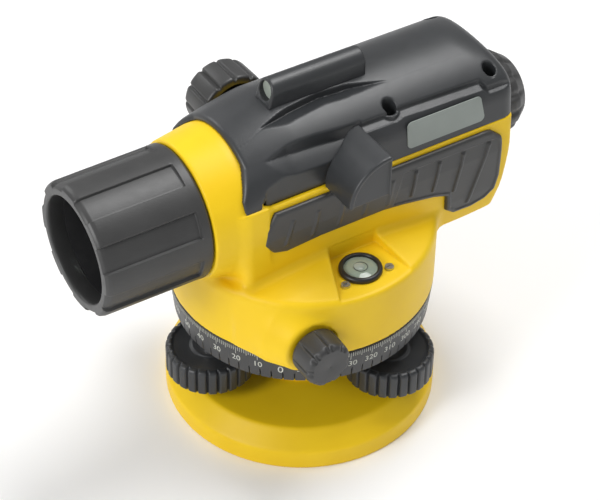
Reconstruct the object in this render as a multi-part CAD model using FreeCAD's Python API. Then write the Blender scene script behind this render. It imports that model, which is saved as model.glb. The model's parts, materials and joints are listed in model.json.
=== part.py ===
"""Automatic level for surveying: footplate, foot screws, circle and telescope.

Frame in millimetres: Z up, origin on the vertical axis at the footplate's underside,
X along the line of sight towards the objective, Y towards the side with the bubble.
"""

import math
import os

import FreeCAD, Part

# Footplate and tripod thread
BASE_RADIUS = 60.5
BASE_WALL_TOP = 9.3
BASE_TOP_RADIUS = 52.4
BASE_TOP = 16.7
BASE_HOLLOW = 5.0
LEAF_THICKNESS = 1.2
TRIPOD_THREAD_RADIUS = 6.8
TRIPOD_BUSH_RADIUS = 14.0
TRIPOD_BUSH_TOP = 16.0

# Foot screws
FOOT_COUNT = 3
FOOT_CIRCLE_RADIUS = 44.8
FOOT_FIRST_ANGLE = -3.0
FOOT_KNOB_RADIUS = 19.7
FOOT_KNOB_BOTTOM = 24.0
FOOT_KNOB_TOP = 38.0
FOOT_FLUTES = 26
FOOT_THREAD_RADIUS = 4.5
FOOT_THREAD_TOP = 54.4
FOOT_BALL_RADIUS = 5.0
FOOT_BALL_HEIGHT = 12.6

# Levelling head, vertical axis and circle
HEAD_RADIUS = 52.74
HEAD_BOTTOM = 50.0
HEAD_TOP = 60.7
CIRCLE_BOTTOM = 48.4
CIRCLE_TOP = 63.3
CIRCLE_BOTTOM_RADIUS = 55.9
CIRCLE_TOP_RADIUS = 57.4
CIRCLE_BORE = 52.8
SPINDLE_RADIUS = 9.0
SPINDLE_TOP = 95.8
COLLAR_RADIUS = 15.0
COLLAR_TOP = 76.0

# Housing
DRUM_RADIUS = 57.5
DRUM_BOTTOM = 63.6
DRUM_TOP = 93.5
BODY_REAR = -86.5
BODY_FRONT = 46.0
SPLIT_HEIGHT = 132.4
WALL = 3.0
BODY_BOTTOM = 79.5
FLOOR_TOP = 96.0
AXIS_HEIGHT = 121.0
BARREL_ROOT_RADIUS = 32.0
BARREL_SEAT_RADIUS = 26.0
BARREL_BORE = 23.0
BARREL_FRONT = 100.0
HOOD_REAR = 59.6
HOOD_FRONT = 107.5
HOOD_RADIUS = 28.9
HOOD_BAND = 5.0
PANEL_COUNT = 8
PANEL_ANGLE = 23.0
PANEL_FIRST = -75.5

# Slow motion drive
DRIVE_X = 28.5
DRIVE_Z = 72.3
DRIVE_SHAFT_RADIUS = 3.0
DRIVE_KNOB_RADIUS = 10.5
DRIVE_KNOB_INNER = 53.0
DRIVE_KNOB_OUTER = 67.0
WHEEL_RADIUS = 23.0
WORM_RADIUS = 5.0

# Focusing
FOCUS_X = 11.5
FOCUS_Z = 130.3
FOCUS_KNOB_RADIUS = 16.1
FOCUS_KNOB_INNER = -35.5
FOCUS_KNOB_OUTER = -52.5
FOCUS_SHAFT_RADIUS = 2.5
PINION_RADIUS = 3.0
PINION_TEETH = 14

# Cover, sight and bubble
COVER_TOP = 160.5
COVER_SHOULDER_Y = 24.5
COVER_SHOULDER_Z = 151.2
SIGHT_AXIS = 165.2
BUBBLE_X = -1.8
BUBBLE_Y = 42.0
POCKET_FLOOR = 92.3
MIRROR_X = -10.8
MIRROR_RADIUS = 19.6
MIRROR_END = 48.0
GRIP_THICKNESS = 1.7
GRIP_RIBS = 9
GRIP_FIRST_RIB = 26.0
GRIP_RIB_PITCH = 12.15
GRIP_RIB_LEAN = 0.2
GRIP_RIB_HEIGHT = 0.6

# Compensator
COMPENSATOR_X = -32.0
PENDULUM_TOP = 133.0
FRAME_TOP = 148.0

# Clearances of running fits and of parts that pass each other
RUNNING = 0.05
GAP = 0.3

os.makedirs("parts", exist_ok=True)


def vec(x, y, z):
    return FreeCAD.Vector(x, y, z)


def box(x0, x1, y0, y1, z0, z1):
    return Part.makeBox(x1 - x0, y1 - y0, z1 - z0, vec(x0, y0, z0))


def rod_x(radius, x0, x1, y=0.0, z=AXIS_HEIGHT):
    return Part.makeCylinder(radius, x1 - x0, vec(x0, y, z), vec(1, 0, 0))


def rod_y(radius, y0, y1, x, z):
    return Part.makeCylinder(radius, y1 - y0, vec(x, y0, z), vec(0, 1, 0))


def rod_z(radius, z0, z1, x=0.0, y=0.0):
    return Part.makeCylinder(radius, z1 - z0, vec(x, y, z0), vec(0, 0, 1))


def tube_x(outer, inner, x0, x1):
    return rod_x(outer, x0, x1).cut(rod_x(inner, x0 - 1, x1 + 1))


def tube_z(outer, inner, z0, z1, x=0.0, y=0.0):
    return rod_z(outer, z0, z1, x, y).cut(rod_z(inner, z0 - 1, z1 + 1, x, y))


def turned_z(points, x=0.0, y=0.0):
    """Revolve a closed outline of (radius, height) points about a vertical line."""
    wire = Part.makePolygon([vec(x + r, y, z) for r, z in points + points[:1]])
    return Part.Face(wire).revolve(vec(x, y, 0), vec(0, 0, 1), 360)


def turned_x(points):
    """Revolve a closed outline of (x, radius) points about the line of sight."""
    wire = Part.makePolygon([vec(x, 0, AXIS_HEIGHT + r) for x, r in points + points[:1]])
    return Part.Face(wire).revolve(vec(0, 0, AXIS_HEIGHT), vec(1, 0, 0), 360)


def turned_y(points, x, z):
    """Revolve a closed outline of (y, radius) points about a cross shaft's centre line."""
    wire = Part.makePolygon([vec(x, y, z + r) for y, r in points + points[:1]])
    return Part.Face(wire).revolve(vec(x, 0, z), vec(0, 1, 0), 360)


def prism_y(points, y0, y1):
    wire = Part.makePolygon([vec(x, y0, z) for x, z in points + points[:1]])
    return Part.Face(wire).extrude(vec(0, y1 - y0, 0))


def prism_x(points, x0, x1):
    wire = Part.makePolygon([vec(x0, y, z) for y, z in points + points[:1]])
    return Part.Face(wire).extrude(vec(x1 - x0, 0, 0))


def prism_z(points, z0, z1):
    wire = Part.makePolygon([vec(x, y, z0) for x, y in points + points[:1]])
    return Part.Face(wire).extrude(vec(0, 0, z1 - z0))


def polar(radius, degrees):
    angle = math.radians(degrees)
    return radius * math.cos(angle), radius * math.sin(angle)


def spread(shape, count, centre, axis):
    """Copies of a shape spaced evenly about an axis."""
    copies = []
    for i in range(count):
        copy = shape.copy()
        copy.rotate(centre, axis, 360.0 * i / count)
        copies.append(copy)
    return copies


def edges_where(shape, test):
    return [edge for edge in shape.Edges if test(edge.BoundBox)]


def save(name, shape):
    shape.exportStep("parts/" + name + ".step")


def foot_place(index):
    return polar(FOOT_CIRCLE_RADIUS, FOOT_FIRST_ANGLE + 360.0 * index / FOOT_COUNT)


# ---------------------------------------------------------------- footplate


def base_plate():
    rim = [
        (TRIPOD_BUSH_RADIUS, 0.0),
        (BASE_RADIUS - 1.0, 0.0),
        (BASE_RADIUS, 1.0),
        (BASE_RADIUS, BASE_WALL_TOP),
        (BASE_TOP_RADIUS, BASE_TOP),
        (TRIPOD_BUSH_RADIUS, BASE_TOP),
    ]
    plate = turned_z(rim)
    hollow = tube_z(50.0, 24.5, -1.0, BASE_HOLLOW)
    rib = box(24.0, 52.0, -1.6, 1.6, -1.0, BASE_HOLLOW)
    for arm in spread(rib, 6, vec(0, 0, 0), vec(0, 0, 1)):
        hollow = hollow.cut(arm)
    for index in range(FOOT_COUNT):
        x, y = foot_place(index)
        hollow = hollow.cut(rod_z(9.0, -1.0, BASE_HOLLOW, x, y))
    plate = plate.cut(hollow)
    for index in range(FOOT_COUNT):
        x, y = foot_place(index)
        plate = plate.cut(Part.makeSphere(FOOT_BALL_RADIUS + RUNNING, vec(x, y, FOOT_BALL_HEIGHT)))
        plate = plate.cut(rod_z(FOOT_BALL_RADIUS + RUNNING, FOOT_BALL_HEIGHT, BASE_TOP + 1, x, y))
        sx, sy = spring_screw_place(index)
        plate = plate.cut(rod_z(1.9, -1.0, BASE_TOP + 1, sx, sy)).cut(rod_z(3.8, -1.0, BASE_HOLLOW, sx, sy))
    return plate


def spring_screw_place(index):
    return polar(19.0, FOOT_FIRST_ANGLE + 60.0 + 360.0 * index / FOOT_COUNT)


def tripod_bush():
    return tube_z(TRIPOD_BUSH_RADIUS, TRIPOD_THREAD_RADIUS, 0.0, TRIPOD_BUSH_TOP)


def spring_plate():
    """Three armed leaf spring that holds the ball feet down in their sockets."""
    top = BASE_TOP + LEAF_THICKNESS
    leaf = tube_z(23.5, 14.6, BASE_TOP, top)
    for index in range(FOOT_COUNT):
        x, y = foot_place(index)
        leaf = leaf.fuse(rod_z(7.2, BASE_TOP, top, x, y))
        arm = box(20.0, FOOT_CIRCLE_RADIUS, -6.0, 6.0, BASE_TOP, top)
        arm.rotate(vec(0, 0, 0), vec(0, 0, 1), FOOT_FIRST_ANGLE + 360.0 * index / FOOT_COUNT)
        leaf = leaf.fuse(arm)
    for index in range(FOOT_COUNT):
        x, y = foot_place(index)
        sx, sy = spring_screw_place(index)
        leaf = leaf.cut(rod_z(3.9, BASE_TOP - 1, top + 1, x, y))
        leaf = leaf.cut(rod_z(1.85, BASE_TOP - 1, top + 1, sx, sy))
    return leaf.removeSplitter()


def spring_plate_screws():
    """Screws put in from the footplate's hollow underside and threaded into the leaf."""
    screws = []
    head_bottom = BASE_HOLLOW - 2.2
    for index in range(FOOT_COUNT):
        x, y = spring_screw_place(index)
        head = rod_z(3.5, head_bottom, BASE_HOLLOW, x, y)
        slot = box(x - 4, x + 4, y - 0.5, y + 0.5, head_bottom - 1, head_bottom + 1.0)
        shank = rod_z(1.8, BASE_HOLLOW, BASE_TOP + LEAF_THICKNESS, x, y)
        screws.append(head.fuse(shank).cut(slot))
    return Part.makeCompound(screws)


# -------------------------------------------------------------- foot screws


def foot_knob(index):
    x, y = foot_place(index)
    outline = [
        (3.5, FOOT_KNOB_BOTTOM),
        (FOOT_KNOB_RADIUS - 1.6, FOOT_KNOB_BOTTOM),
        (FOOT_KNOB_RADIUS, FOOT_KNOB_BOTTOM + 1.6),
        (FOOT_KNOB_RADIUS, FOOT_KNOB_TOP - 1.2),
        (FOOT_KNOB_RADIUS - 1.2, FOOT_KNOB_TOP),
        (FOOT_KNOB_RADIUS - 3.2, FOOT_KNOB_TOP),
        (FOOT_KNOB_RADIUS - 4.4, FOOT_KNOB_TOP - 2.6),
        (8.5, FOOT_KNOB_TOP - 3.0),
        (7.5, FOOT_KNOB_TOP - 0.4),
        (3.5, FOOT_KNOB_TOP - 0.4),
    ]
    knob = turned_z(outline, x, y)
    groove = rod_z(1.05, FOOT_KNOB_BOTTOM - 1, FOOT_KNOB_TOP + 1, x + FOOT_KNOB_RADIUS + 0.25, y)
    for cutter in spread(groove, FOOT_FLUTES, vec(x, y, 0), vec(0, 0, 1)):
        knob = knob.cut(cutter)
    return knob


def foot_spindle(index):
    """Ball foot, neck, seat for the knob and the levelling thread above it."""
    x, y = foot_place(index)
    ball = Part.makeSphere(FOOT_BALL_RADIUS, vec(x, y, FOOT_BALL_HEIGHT))
    neck = rod_z(3.0, FOOT_BALL_HEIGHT, FOOT_KNOB_BOTTOM, x, y)
    seat = rod_z(3.5, FOOT_KNOB_BOTTOM - 2.0, FOOT_KNOB_TOP - 0.4, x, y)
    thread = [
        (0.0, FOOT_KNOB_TOP - 0.4),
        (FOOT_THREAD_RADIUS, FOOT_KNOB_TOP - 0.4),
        (FOOT_THREAD_RADIUS, FOOT_THREAD_TOP - 0.8),
        (FOOT_THREAD_RADIUS - 0.8, FOOT_THREAD_TOP),
        (0.0, FOOT_THREAD_TOP),
    ]
    return ball.fuse(neck).fuse(seat).fuse(turned_z(thread, x, y)).removeSplitter()


def foot_screw_bushes():
    bushes = []
    for index in range(FOOT_COUNT):
        x, y = foot_place(index)
        bore = rod_z(FOOT_THREAD_RADIUS + RUNNING, 40.0, 58.0, x, y)
        flange = rod_z(7.6, 43.4, 45.0, x, y)
        bushes.append(rod_z(6.2, 45.0, 59.0, x, y).fuse(flange).cut(bore).removeSplitter())
    return Part.makeCompound(bushes)


# ----------------------------------------------- levelling head and circle


def levelling_head():
    outline = [
        (SPINDLE_RADIUS, 44.0),
        (20.0, 44.0),
        (22.0, 46.0),
        (24.0, HEAD_BOTTOM),
        (50.5, HEAD_BOTTOM),
        (HEAD_RADIUS, HEAD_BOTTOM + 2.2),
        (HEAD_RADIUS, HEAD_TOP),
        (17.5, HEAD_TOP),
        (17.5, 68.3),
        (COLLAR_RADIUS, 68.3),
        (COLLAR_RADIUS, COLLAR_TOP),
        (SPINDLE_RADIUS, COLLAR_TOP),
    ]
    head = turned_z(outline)
    for index in range(FOOT_COUNT):
        x, y = foot_place(index)
        boss = Part.makeCone(7.7, 9.5, 5.0, vec(x, y, 45.0)).common(rod_z(HEAD_RADIUS, 44.0, 51.0))
        arm = box(20.0, FOOT_CIRCLE_RADIUS, -3.0, 3.0, 46.5, HEAD_BOTTOM)
        arm.rotate(vec(0, 0, 0), vec(0, 0, 1), FOOT_FIRST_ANGLE + 360.0 * index / FOOT_COUNT)
        head = head.fuse(boss).fuse(arm)
    for index in range(FOOT_COUNT):
        x, y = foot_place(index)
        head = head.cut(rod_z(6.2, 40.0, 59.0, x, y))
    return head.removeSplitter()


def axis_spindle():
    """Steel centre that the telescope housing turns on."""
    outline = [
        (0.0, 41.0),
        (14.0, 41.0),
        (14.0, 44.0),
        (SPINDLE_RADIUS, 44.0),
        (SPINDLE_RADIUS, SPINDLE_TOP),
        (3.0, SPINDLE_TOP),
        (3.0, 84.0),
        (0.0, 84.0),
    ]
    return turned_z(outline)


def axis_retainer():
    """Screw and washer that keep the housing on its spindle."""
    outline = [
        (0.0, 85.0),
        (3.0, 85.0),
        (3.0, SPINDLE_TOP),
        (12.5, SPINDLE_TOP),
        (12.5, SPINDLE_TOP + 1.4),
        (6.0, SPINDLE_TOP + 1.4),
        (5.4, SPINDLE_TOP + 4.0),
        (0.0, SPINDLE_TOP + 4.0),
    ]
    slot = box(-7.0, 7.0, -0.6, 0.6, SPINDLE_TOP + 2.6, SPINDLE_TOP + 5.0)
    return turned_z(outline).cut(slot)


def horizontal_circle():
    lip_bottom = HEAD_TOP + GAP
    outline = [
        (CIRCLE_BORE, CIRCLE_BOTTOM),
        (CIRCLE_BOTTOM_RADIUS, CIRCLE_BOTTOM),
        (CIRCLE_TOP_RADIUS, CIRCLE_TOP),
        (49.0, CIRCLE_TOP),
        (49.0, lip_bottom),
        (CIRCLE_BORE, lip_bottom),
    ]
    ring = turned_z(outline)
    notch = box(CIRCLE_BOTTOM_RADIUS - 0.6, 60.0, -0.35, 0.35, CIRCLE_BOTTOM - 1, CIRCLE_BOTTOM + 4.2)
    for cutter in spread(notch, 72, vec(0, 0, 0), vec(0, 0, 1)):
        ring = ring.cut(cutter)
    return ring


def clutch_wheel():
    """Worm wheel that grips the head's collar by friction."""
    wheel = tube_z(WHEEL_RADIUS, COLLAR_RADIUS + RUNNING, DRIVE_Z - 3.5, DRIVE_Z + 3.5)
    gap = rod_z(0.55, DRIVE_Z - 4.5, DRIVE_Z + 4.5, WHEEL_RADIUS + 0.1, 0.0)
    for cutter in spread(gap, 48, vec(0, 0, 0), vec(0, 0, 1)):
        wheel = wheel.cut(cutter)
    return wheel


# ------------------------------------------------------------------ housing


def body_section():
    """Rounded box section of the telescope housing, seen along the line of sight."""
    half = [(30.3, SPLIT_HEIGHT), (31.0, 118.0), (30.0, 98.0), (28.2, 83.5), (23.5, BODY_BOTTOM)]
    return half + [(-y, z) for y, z in reversed(half)]


def housing_outside():
    shell = prism_x(body_section(), BODY_REAR, BODY_FRONT)
    corners = edges_where(shell, lambda b: b.XLength < 0.01 and b.ZLength > 5.0)
    shell = shell.makeFillet(5.0, corners)
    tail = [(BODY_REAR, 113.0), (-85.5, 106.0), (-83.3, 94.0), (-80.5, 85.0), (-60.0, BODY_BOTTOM)]
    shell = shell.cut(prism_y(tail + [(-60.0, 70.0), (-92.0, 70.0), (-92.0, 113.0)], -40.0, 40.0))
    drum = turned_z(
        [
            (0.0, DRUM_BOTTOM),
            (DRUM_RADIUS, DRUM_BOTTOM),
            (DRUM_RADIUS, DRUM_TOP),
            (0.0, DRUM_TOP),
        ]
    )
    rim = edges_where(drum, lambda b: b.ZLength < 0.01 and b.ZMin > 90 and b.XLength > 100)
    drum = drum.makeFillet(3.0, rim)
    barrel = turned_x(
        [
            (38.0, 0.0),
            (38.0, BARREL_ROOT_RADIUS),
            (46.0, BARREL_ROOT_RADIUS),
            (HOOD_REAR - 0.3, 29.8),
            (HOOD_REAR - 0.3, BARREL_SEAT_RADIUS),
            (BARREL_FRONT, BARREL_SEAT_RADIUS),
            (BARREL_FRONT, 0.0),
        ]
    )
    saddle = prism_z([(20.0, -24.0), (52.0, -17.0), (52.0, 17.0), (20.0, 24.0)], 88.0, 100.0)
    return shell.fuse(drum).fuse(barrel).fuse(saddle)


def drive_boss(side):
    outline = [(30.0, 0.0), (30.0, 19.0), (43.0, 17.0), (52.7, 11.8), (52.7, 0.0)]
    boss = turned_y([(side * y, r) for y, r in outline], DRIVE_X, DRIVE_Z)
    under = rod_z(DRUM_RADIUS + 0.6, 40.0, DRUM_BOTTOM)
    return boss.cut(under).cut(box(0.0, 60.0, -60.0, 60.0, 40.0, 58.0))


def bubble_pocket():
    outline = [(4.5, 27.5), (-15.5, 27.5), (-17.5, 52.0), (13.5, 52.0)]
    return prism_z(outline, POCKET_FLOOR, DRUM_TOP + 2)


def body_housing():
    body = housing_outside()
    for side in (1, -1):
        body = body.fuse(drive_boss(side))
    body = body.fuse(rod_y(11.0, -35.2, -25.0, FOCUS_X, FOCUS_Z))
    rear, front = BODY_REAR + WALL, BODY_FRONT - 8.5
    inside = [(rear, 112.0), (rear + 3.0, FLOOR_TOP), (front, FLOOR_TOP), (front, 140.0), (rear, 140.0)]
    body = body.cut(prism_y(inside, -27.8, 27.8))
    body = body.cut(box(-77.0, -56.0, -17.0, 17.0, 85.5, FLOOR_TOP + 1))
    inside_top = DRUM_TOP - WALL
    body = body.cut(rod_z(DRUM_RADIUS - 3.5, DRUM_BOTTOM - 1, inside_top - 4.5))
    body = body.fuse(tube_z(14.0, 8.0, 77.0, inside_top))
    body = body.cut(rod_z(12.0, 70.0, FLOOR_TOP + 1)).cut(rod_z(13.5, 95.5, FLOOR_TOP + 1))
    body = body.cut(rod_x(BARREL_BORE, BODY_FRONT - 9.0, BARREL_FRONT + 1.0))
    body = body.cut(rod_x(12.0, BODY_REAR - 1, BODY_REAR + WALL + 1))
    body = body.cut(bubble_pocket())
    body = body.cut(rod_z(8.0, 80.0, 95.0, BUBBLE_X, BUBBLE_Y))
    for side in (1, -1):
        body = body.cut(rod_z(1.0, 88.4, 95.0, BUBBLE_X + 10.8 * side, BUBBLE_Y + 5.3))
    for side in (1, -1):
        inner, outer = sorted((side * 30.0, side * 53.5))
        body = body.cut(rod_y(5.5, inner, outer, DRIVE_X, DRIVE_Z))
        inner, outer = sorted((side * (DRIVE_KNOB_INNER - GAP), side * 70.0))
        body = body.cut(rod_y(DRIVE_KNOB_RADIUS + 0.5, inner, outer, DRIVE_X, DRIVE_Z))
    body = body.cut(rod_y(5.0, -36.0, -20.0, FOCUS_X, FOCUS_Z))
    for x, y in cover_screw_places():
        post = rod_z(3.4, FLOOR_TOP - 1, SPLIT_HEIGHT, x, y)
        body = body.fuse(post).cut(rod_z(1.5, 110.0, SPLIT_HEIGHT + 1, x, y))
    return body.removeSplitter()


def axis_bush():
    return tube_z(12.0, SPINDLE_RADIUS + RUNNING, 77.0, 95.5)


# -------------------------------------------------------------------- cover


def cover_screw_places():
    return [(x, y) for x in (-27.0, -77.0) for y in (-21.0, 21.0)]


def cover_block(inset, x0, x1):
    """Crowned top cover: an arc from shoulder to shoulder over leaning side walls."""
    shoulder_y = COVER_SHOULDER_Y - inset
    shoulder_z = COVER_SHOULDER_Z - inset
    left = vec(x0, shoulder_y, shoulder_z)
    right = vec(x0, -shoulder_y, shoulder_z)
    crown = Part.Arc(left, vec(x0, 0.0, COVER_TOP - inset), right).toShape()
    wall_top = shoulder_z - 1.8
    sides = [
        (-shoulder_y, shoulder_z),
        (-(28.6 - inset), wall_top),
        (-(30.3 - inset), SPLIT_HEIGHT),
        (30.3 - inset, SPLIT_HEIGHT),
        (28.6 - inset, wall_top),
        (shoulder_y, shoulder_z),
    ]
    rest = Part.makePolygon([vec(x0, y, z) for y, z in sides])
    return Part.Face(Part.Wire([crown] + rest.Edges)).extrude(vec(x1 - x0, 0, 0))


def mirror_hood_block(radius, y1):
    round_part = rod_y(radius, 14.0, y1, MIRROR_X, SPLIT_HEIGHT)
    return round_part.common(box(MIRROR_X, 20.0, 10.0, 60.0, SPLIT_HEIGHT, 160.0))


def top_cover():
    cover = cover_block(0.0, BODY_REAR, BODY_FRONT)
    back = edges_where(cover, lambda b: b.XMax < BODY_REAR + 0.1 and b.ZMin > SPLIT_HEIGHT + 0.1)
    cover = cover.makeFillet(4.0, back)
    nose = [(26.0, COVER_TOP + 1), (33.0, 158.0), (41.0, 155.2), (41.0, 148.5), (43.0, 144.5), (46.0, 138.5)]
    cover = cover.cut(prism_y(nose + [(50.0, 138.5), (50.0, COVER_TOP + 1)], -40.0, 40.0))
    brow = [(22.0, 158.0), (33.0, 155.2), (40.0, 152.4), (40.0, COVER_TOP), (22.0, COVER_TOP)]
    inside = cover_block(2.5, BODY_REAR + 3.0, BODY_FRONT - 8.5).cut(prism_y(brow, -40.0, 40.0))
    cover = cover.cut(inside)
    cover = cover.cut(rod_x(BARREL_ROOT_RADIUS + 0.15, BODY_FRONT - 9.0, BODY_FRONT + 1))
    cover = cover.cut(rod_x(12.0, BODY_REAR - 1, BODY_REAR + 8.0))
    cover = cover.cut(rod_y(11.15, -40.0, -20.0, FOCUS_X, FOCUS_Z))
    arch = [(41.0, SPLIT_HEIGHT), (37.5, 139.5), (33.0, 144.0), (27.0, 146.3), (6.0, 146.3)]
    for side in (1, -1):
        y0, y1 = sorted((side * 28.3, side * 34.0))
        recess = prism_y(arch + [(-8.0, 144.0), (-8.0, SPLIT_HEIGHT)], y0, y1)
        cover = cover.cut(recess)
    for x, y in cover_screw_places():
        post = rod_z(4.2, SPLIT_HEIGHT, 152.0, x, y)
        well = rod_z(2.9, 140.0, 165.0, x, y)
        cover = cover.fuse(post).cut(well).cut(rod_z(1.6, 130.0, 165.0, x, y))
    flat = box(-26.5, 21.5, -6.2, 6.2, COVER_TOP - 0.9, COVER_TOP + 2)
    cover = cover.cut(flat)
    return cover.removeSplitter()


def cover_screws():
    screws = []
    for x, y in cover_screw_places():
        head = rod_z(2.8, 140.0, 142.6, x, y)
        shank = rod_z(1.5, 112.0, 140.0, x, y)
        socket = rod_z(1.3, 141.2, 143.0, x, y)
        screws.append(head.fuse(shank).cut(socket))
    return Part.makeCompound(screws)


def label_plate():
    plate = prism_y([(-31.0, 135.6), (-70.0, 135.6), (-67.6, 148.0), (-31.0, 148.0)], 26.0, 32.0)
    edges = edges_where(plate, lambda b: b.YLength > 5.0)
    plate = plate.makeFillet(2.2, edges)
    wall = [(30.3, SPLIT_HEIGHT), (28.6, 149.4), (29.0, 149.4), (30.7, SPLIT_HEIGHT)]
    return plate.common(prism_x(wall, -75.0, -25.0))


def wall_layer(side, thickness):
    """A skin of the given thickness lying on one side wall of the housing."""
    outer = [(30.4, SPLIT_HEIGHT), (31.0, 118.0), (30.0, 98.0), (28.9, 89.0)]
    skin = outer + [(y + thickness, z) for y, z in reversed(outer)]
    return prism_x([(side * y, z) for y, z in skin], -84.0, 44.0)


def side_grip(side):
    """Ribbed hand pad lying against the housing's side wall."""
    outline = [
        (32.0, 129.6),
        (-73.0, 129.6),
        (-78.5, 125.0),
        (-79.0, 104.0),
        (-77.5, 96.5),
        (-73.0, 92.6),
        (-66.0, 90.9),
        (-57.0, 91.3),
        (-53.0, 94.5),
        (-52.0, 103.5),
        (-45.0, 105.7),
        (-29.0, 108.7),
        (-19.0, 110.0),
        (13.0, 110.0),
        (29.0, 109.0),
        (38.0, 115.0),
    ]
    y0, y1 = sorted((side * 25.0, side * 36.0))
    pad = prism_y(outline, y0, y1)
    pad = pad.common(wall_layer(side, GRIP_THICKNESS))
    raised = wall_layer(side, GRIP_THICKNESS + GRIP_RIB_HEIGHT)
    for i in range(GRIP_RIBS):
        x = GRIP_FIRST_RIB - GRIP_RIB_PITCH * i
        low = 112.0 if x > -50 else 105.0 if x > -60 else 96.5
        foot = x + GRIP_RIB_LEAN * (124.0 - low)
        rib = [(x, 124.0), (x + 1.2, 124.0), (foot + 1.2, low), (foot, low)]
        pad = pad.fuse(prism_y(rib, y0, y1).common(raised))
    if side < 0:
        pad = pad.cut(rod_y(11.5, -40.0, -20.0, FOCUS_X, FOCUS_Z))
    return pad


def collimator_sight():
    half = 5.5
    base = box(-26.0, 21.0, -half, half, COVER_TOP - 0.9, SIGHT_AXIS)
    roof = rod_x(half, -26.0, 21.0, 0.0, SIGHT_AXIS)
    sight = base.fuse(roof).common(box(-26.0, 21.0, -half, half, COVER_TOP - 0.9, 172.0))
    slope = prism_y([(17.6, 172.0), (21.5, 172.0), (21.5, COVER_TOP - 0.5)], -8.0, 8.0)
    sight = sight.cut(slope)
    sight = sight.cut(rod_x(4.0, 10.0, 22.0, 0.0, SIGHT_AXIS))
    return sight.cut(rod_x(2.0, -27.0, 10.5, 0.0, SIGHT_AXIS)).removeSplitter()


def sight_lens():
    return rod_x(4.0, 10.0, 17.4, 0.0, SIGHT_AXIS)


def mirror_hood():
    """Quarter round hood over the bubble; its mirror faces down and to the eyepiece."""
    outer = mirror_hood_block(MIRROR_RADIUS, MIRROR_END)
    hollow = mirror_hood_block(MIRROR_RADIUS - 2.0, MIRROR_END - 2.0)
    hood = outer.cut(hollow)
    solid = cover_block(0.0, -30.0, 30.0)
    return hood.cut(solid).cut(box(-30.0, 30.0, 0.0, 28.0, SPLIT_HEIGHT - 1, COVER_SHOULDER_Z - 6))


def mirror_glass():
    near = 11.5
    far = 13.0
    reach = math.sqrt((MIRROR_RADIUS - 2.0) ** 2 - far**2)
    diagonal = math.sqrt(0.5)
    corners = [(near, reach), (near, -reach), (far, -reach), (far, reach)]
    points = []
    for out, along in corners:
        x = MIRROR_X + diagonal * (out - along)
        z = SPLIT_HEIGHT + diagonal * (out + along)
        points.append((x, z))
    return prism_y(points, 31.0, MIRROR_END - 2.0)


# ------------------------------------------------------------------- bubble


def bubble_cup():
    outline = [
        (0.0, 84.0),
        (8.0, 84.0),
        (8.0, POCKET_FLOOR),
        (9.2, POCKET_FLOOR),
        (9.2, 93.8),
        (8.4, 94.5),
        (7.1, 94.5),
        (7.1, 86.0),
        (0.0, 86.0),
    ]
    return turned_z(outline, BUBBLE_X, BUBBLE_Y)


def bubble_vial():
    outline = [(0.0, 86.0), (7.1, 86.0), (7.1, 93.2), (4.0, 93.9), (0.0, 94.1)]
    return turned_z(outline, BUBBLE_X, BUBBLE_Y)


def bubble_screws():
    screws = []
    for side in (1, -1):
        x = BUBBLE_X + 10.8 * side
        y = BUBBLE_Y + 5.3
        head = rod_z(1.9, POCKET_FLOOR, POCKET_FLOOR + 1.2, x, y)
        slot = box(x - 2.0, x + 2.0, y - 0.3, y + 0.3, POCKET_FLOOR + 0.6, POCKET_FLOOR + 2)
        screws.append(head.fuse(rod_z(1.0, 88.6, POCKET_FLOOR, x, y)).cut(slot))
    return Part.makeCompound(screws)


# -------------------------------------------------------------------- drive


def drive_shaft():
    shaft = rod_y(DRIVE_SHAFT_RADIUS, -63.0, 63.0, DRIVE_X, DRIVE_Z)
    worm = rod_y(WORM_RADIUS, -9.0, 9.0, DRIVE_X, DRIVE_Z)
    for step in range(8):
        y = -7.6 + 2.1 * step
        thread_gap = [(y, 3.8), (y + 0.5, 3.8), (y + 0.9, 6.0), (y - 0.4, 6.0)]
        worm = worm.cut(turned_y(thread_gap, DRIVE_X, DRIVE_Z))
    return shaft.fuse(worm).removeSplitter()


def drive_bushes():
    bushes = []
    for side in (1, -1):
        y0, y1 = sorted((side * 43.0, side * 52.7))
        bore = rod_y(DRIVE_SHAFT_RADIUS + RUNNING, y0 - 1, y1 + 1, DRIVE_X, DRIVE_Z)
        bushes.append(rod_y(5.5, y0, y1, DRIVE_X, DRIVE_Z).cut(bore))
    return Part.makeCompound(bushes)


def drive_knob(side):
    outline = [
        (DRIVE_KNOB_INNER, 3.0),
        (DRIVE_KNOB_INNER, 8.6),
        (DRIVE_KNOB_INNER + 1.2, DRIVE_KNOB_RADIUS),
        (DRIVE_KNOB_OUTER - 1.4, DRIVE_KNOB_RADIUS - 0.2),
        (DRIVE_KNOB_OUTER, DRIVE_KNOB_RADIUS - 1.8),
        (DRIVE_KNOB_OUTER, 0.0),
        (63.0, 0.0),
        (63.0, 3.0),
    ]
    knob = turned_y([(side * y, r) for y, r in outline], DRIVE_X, DRIVE_Z)
    y0, y1 = sorted((side * (DRIVE_KNOB_INNER + 2.0), side * (DRIVE_KNOB_OUTER + 1)))
    groove = rod_y(0.8, y0, y1, DRIVE_X, DRIVE_Z + DRIVE_KNOB_RADIUS + 0.25)
    for cutter in spread(groove, 9, vec(DRIVE_X, 0, DRIVE_Z), vec(0, 1, 0)):
        knob = knob.cut(cutter)
    return knob


# ----------------------------------------------------------------- focusing


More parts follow.
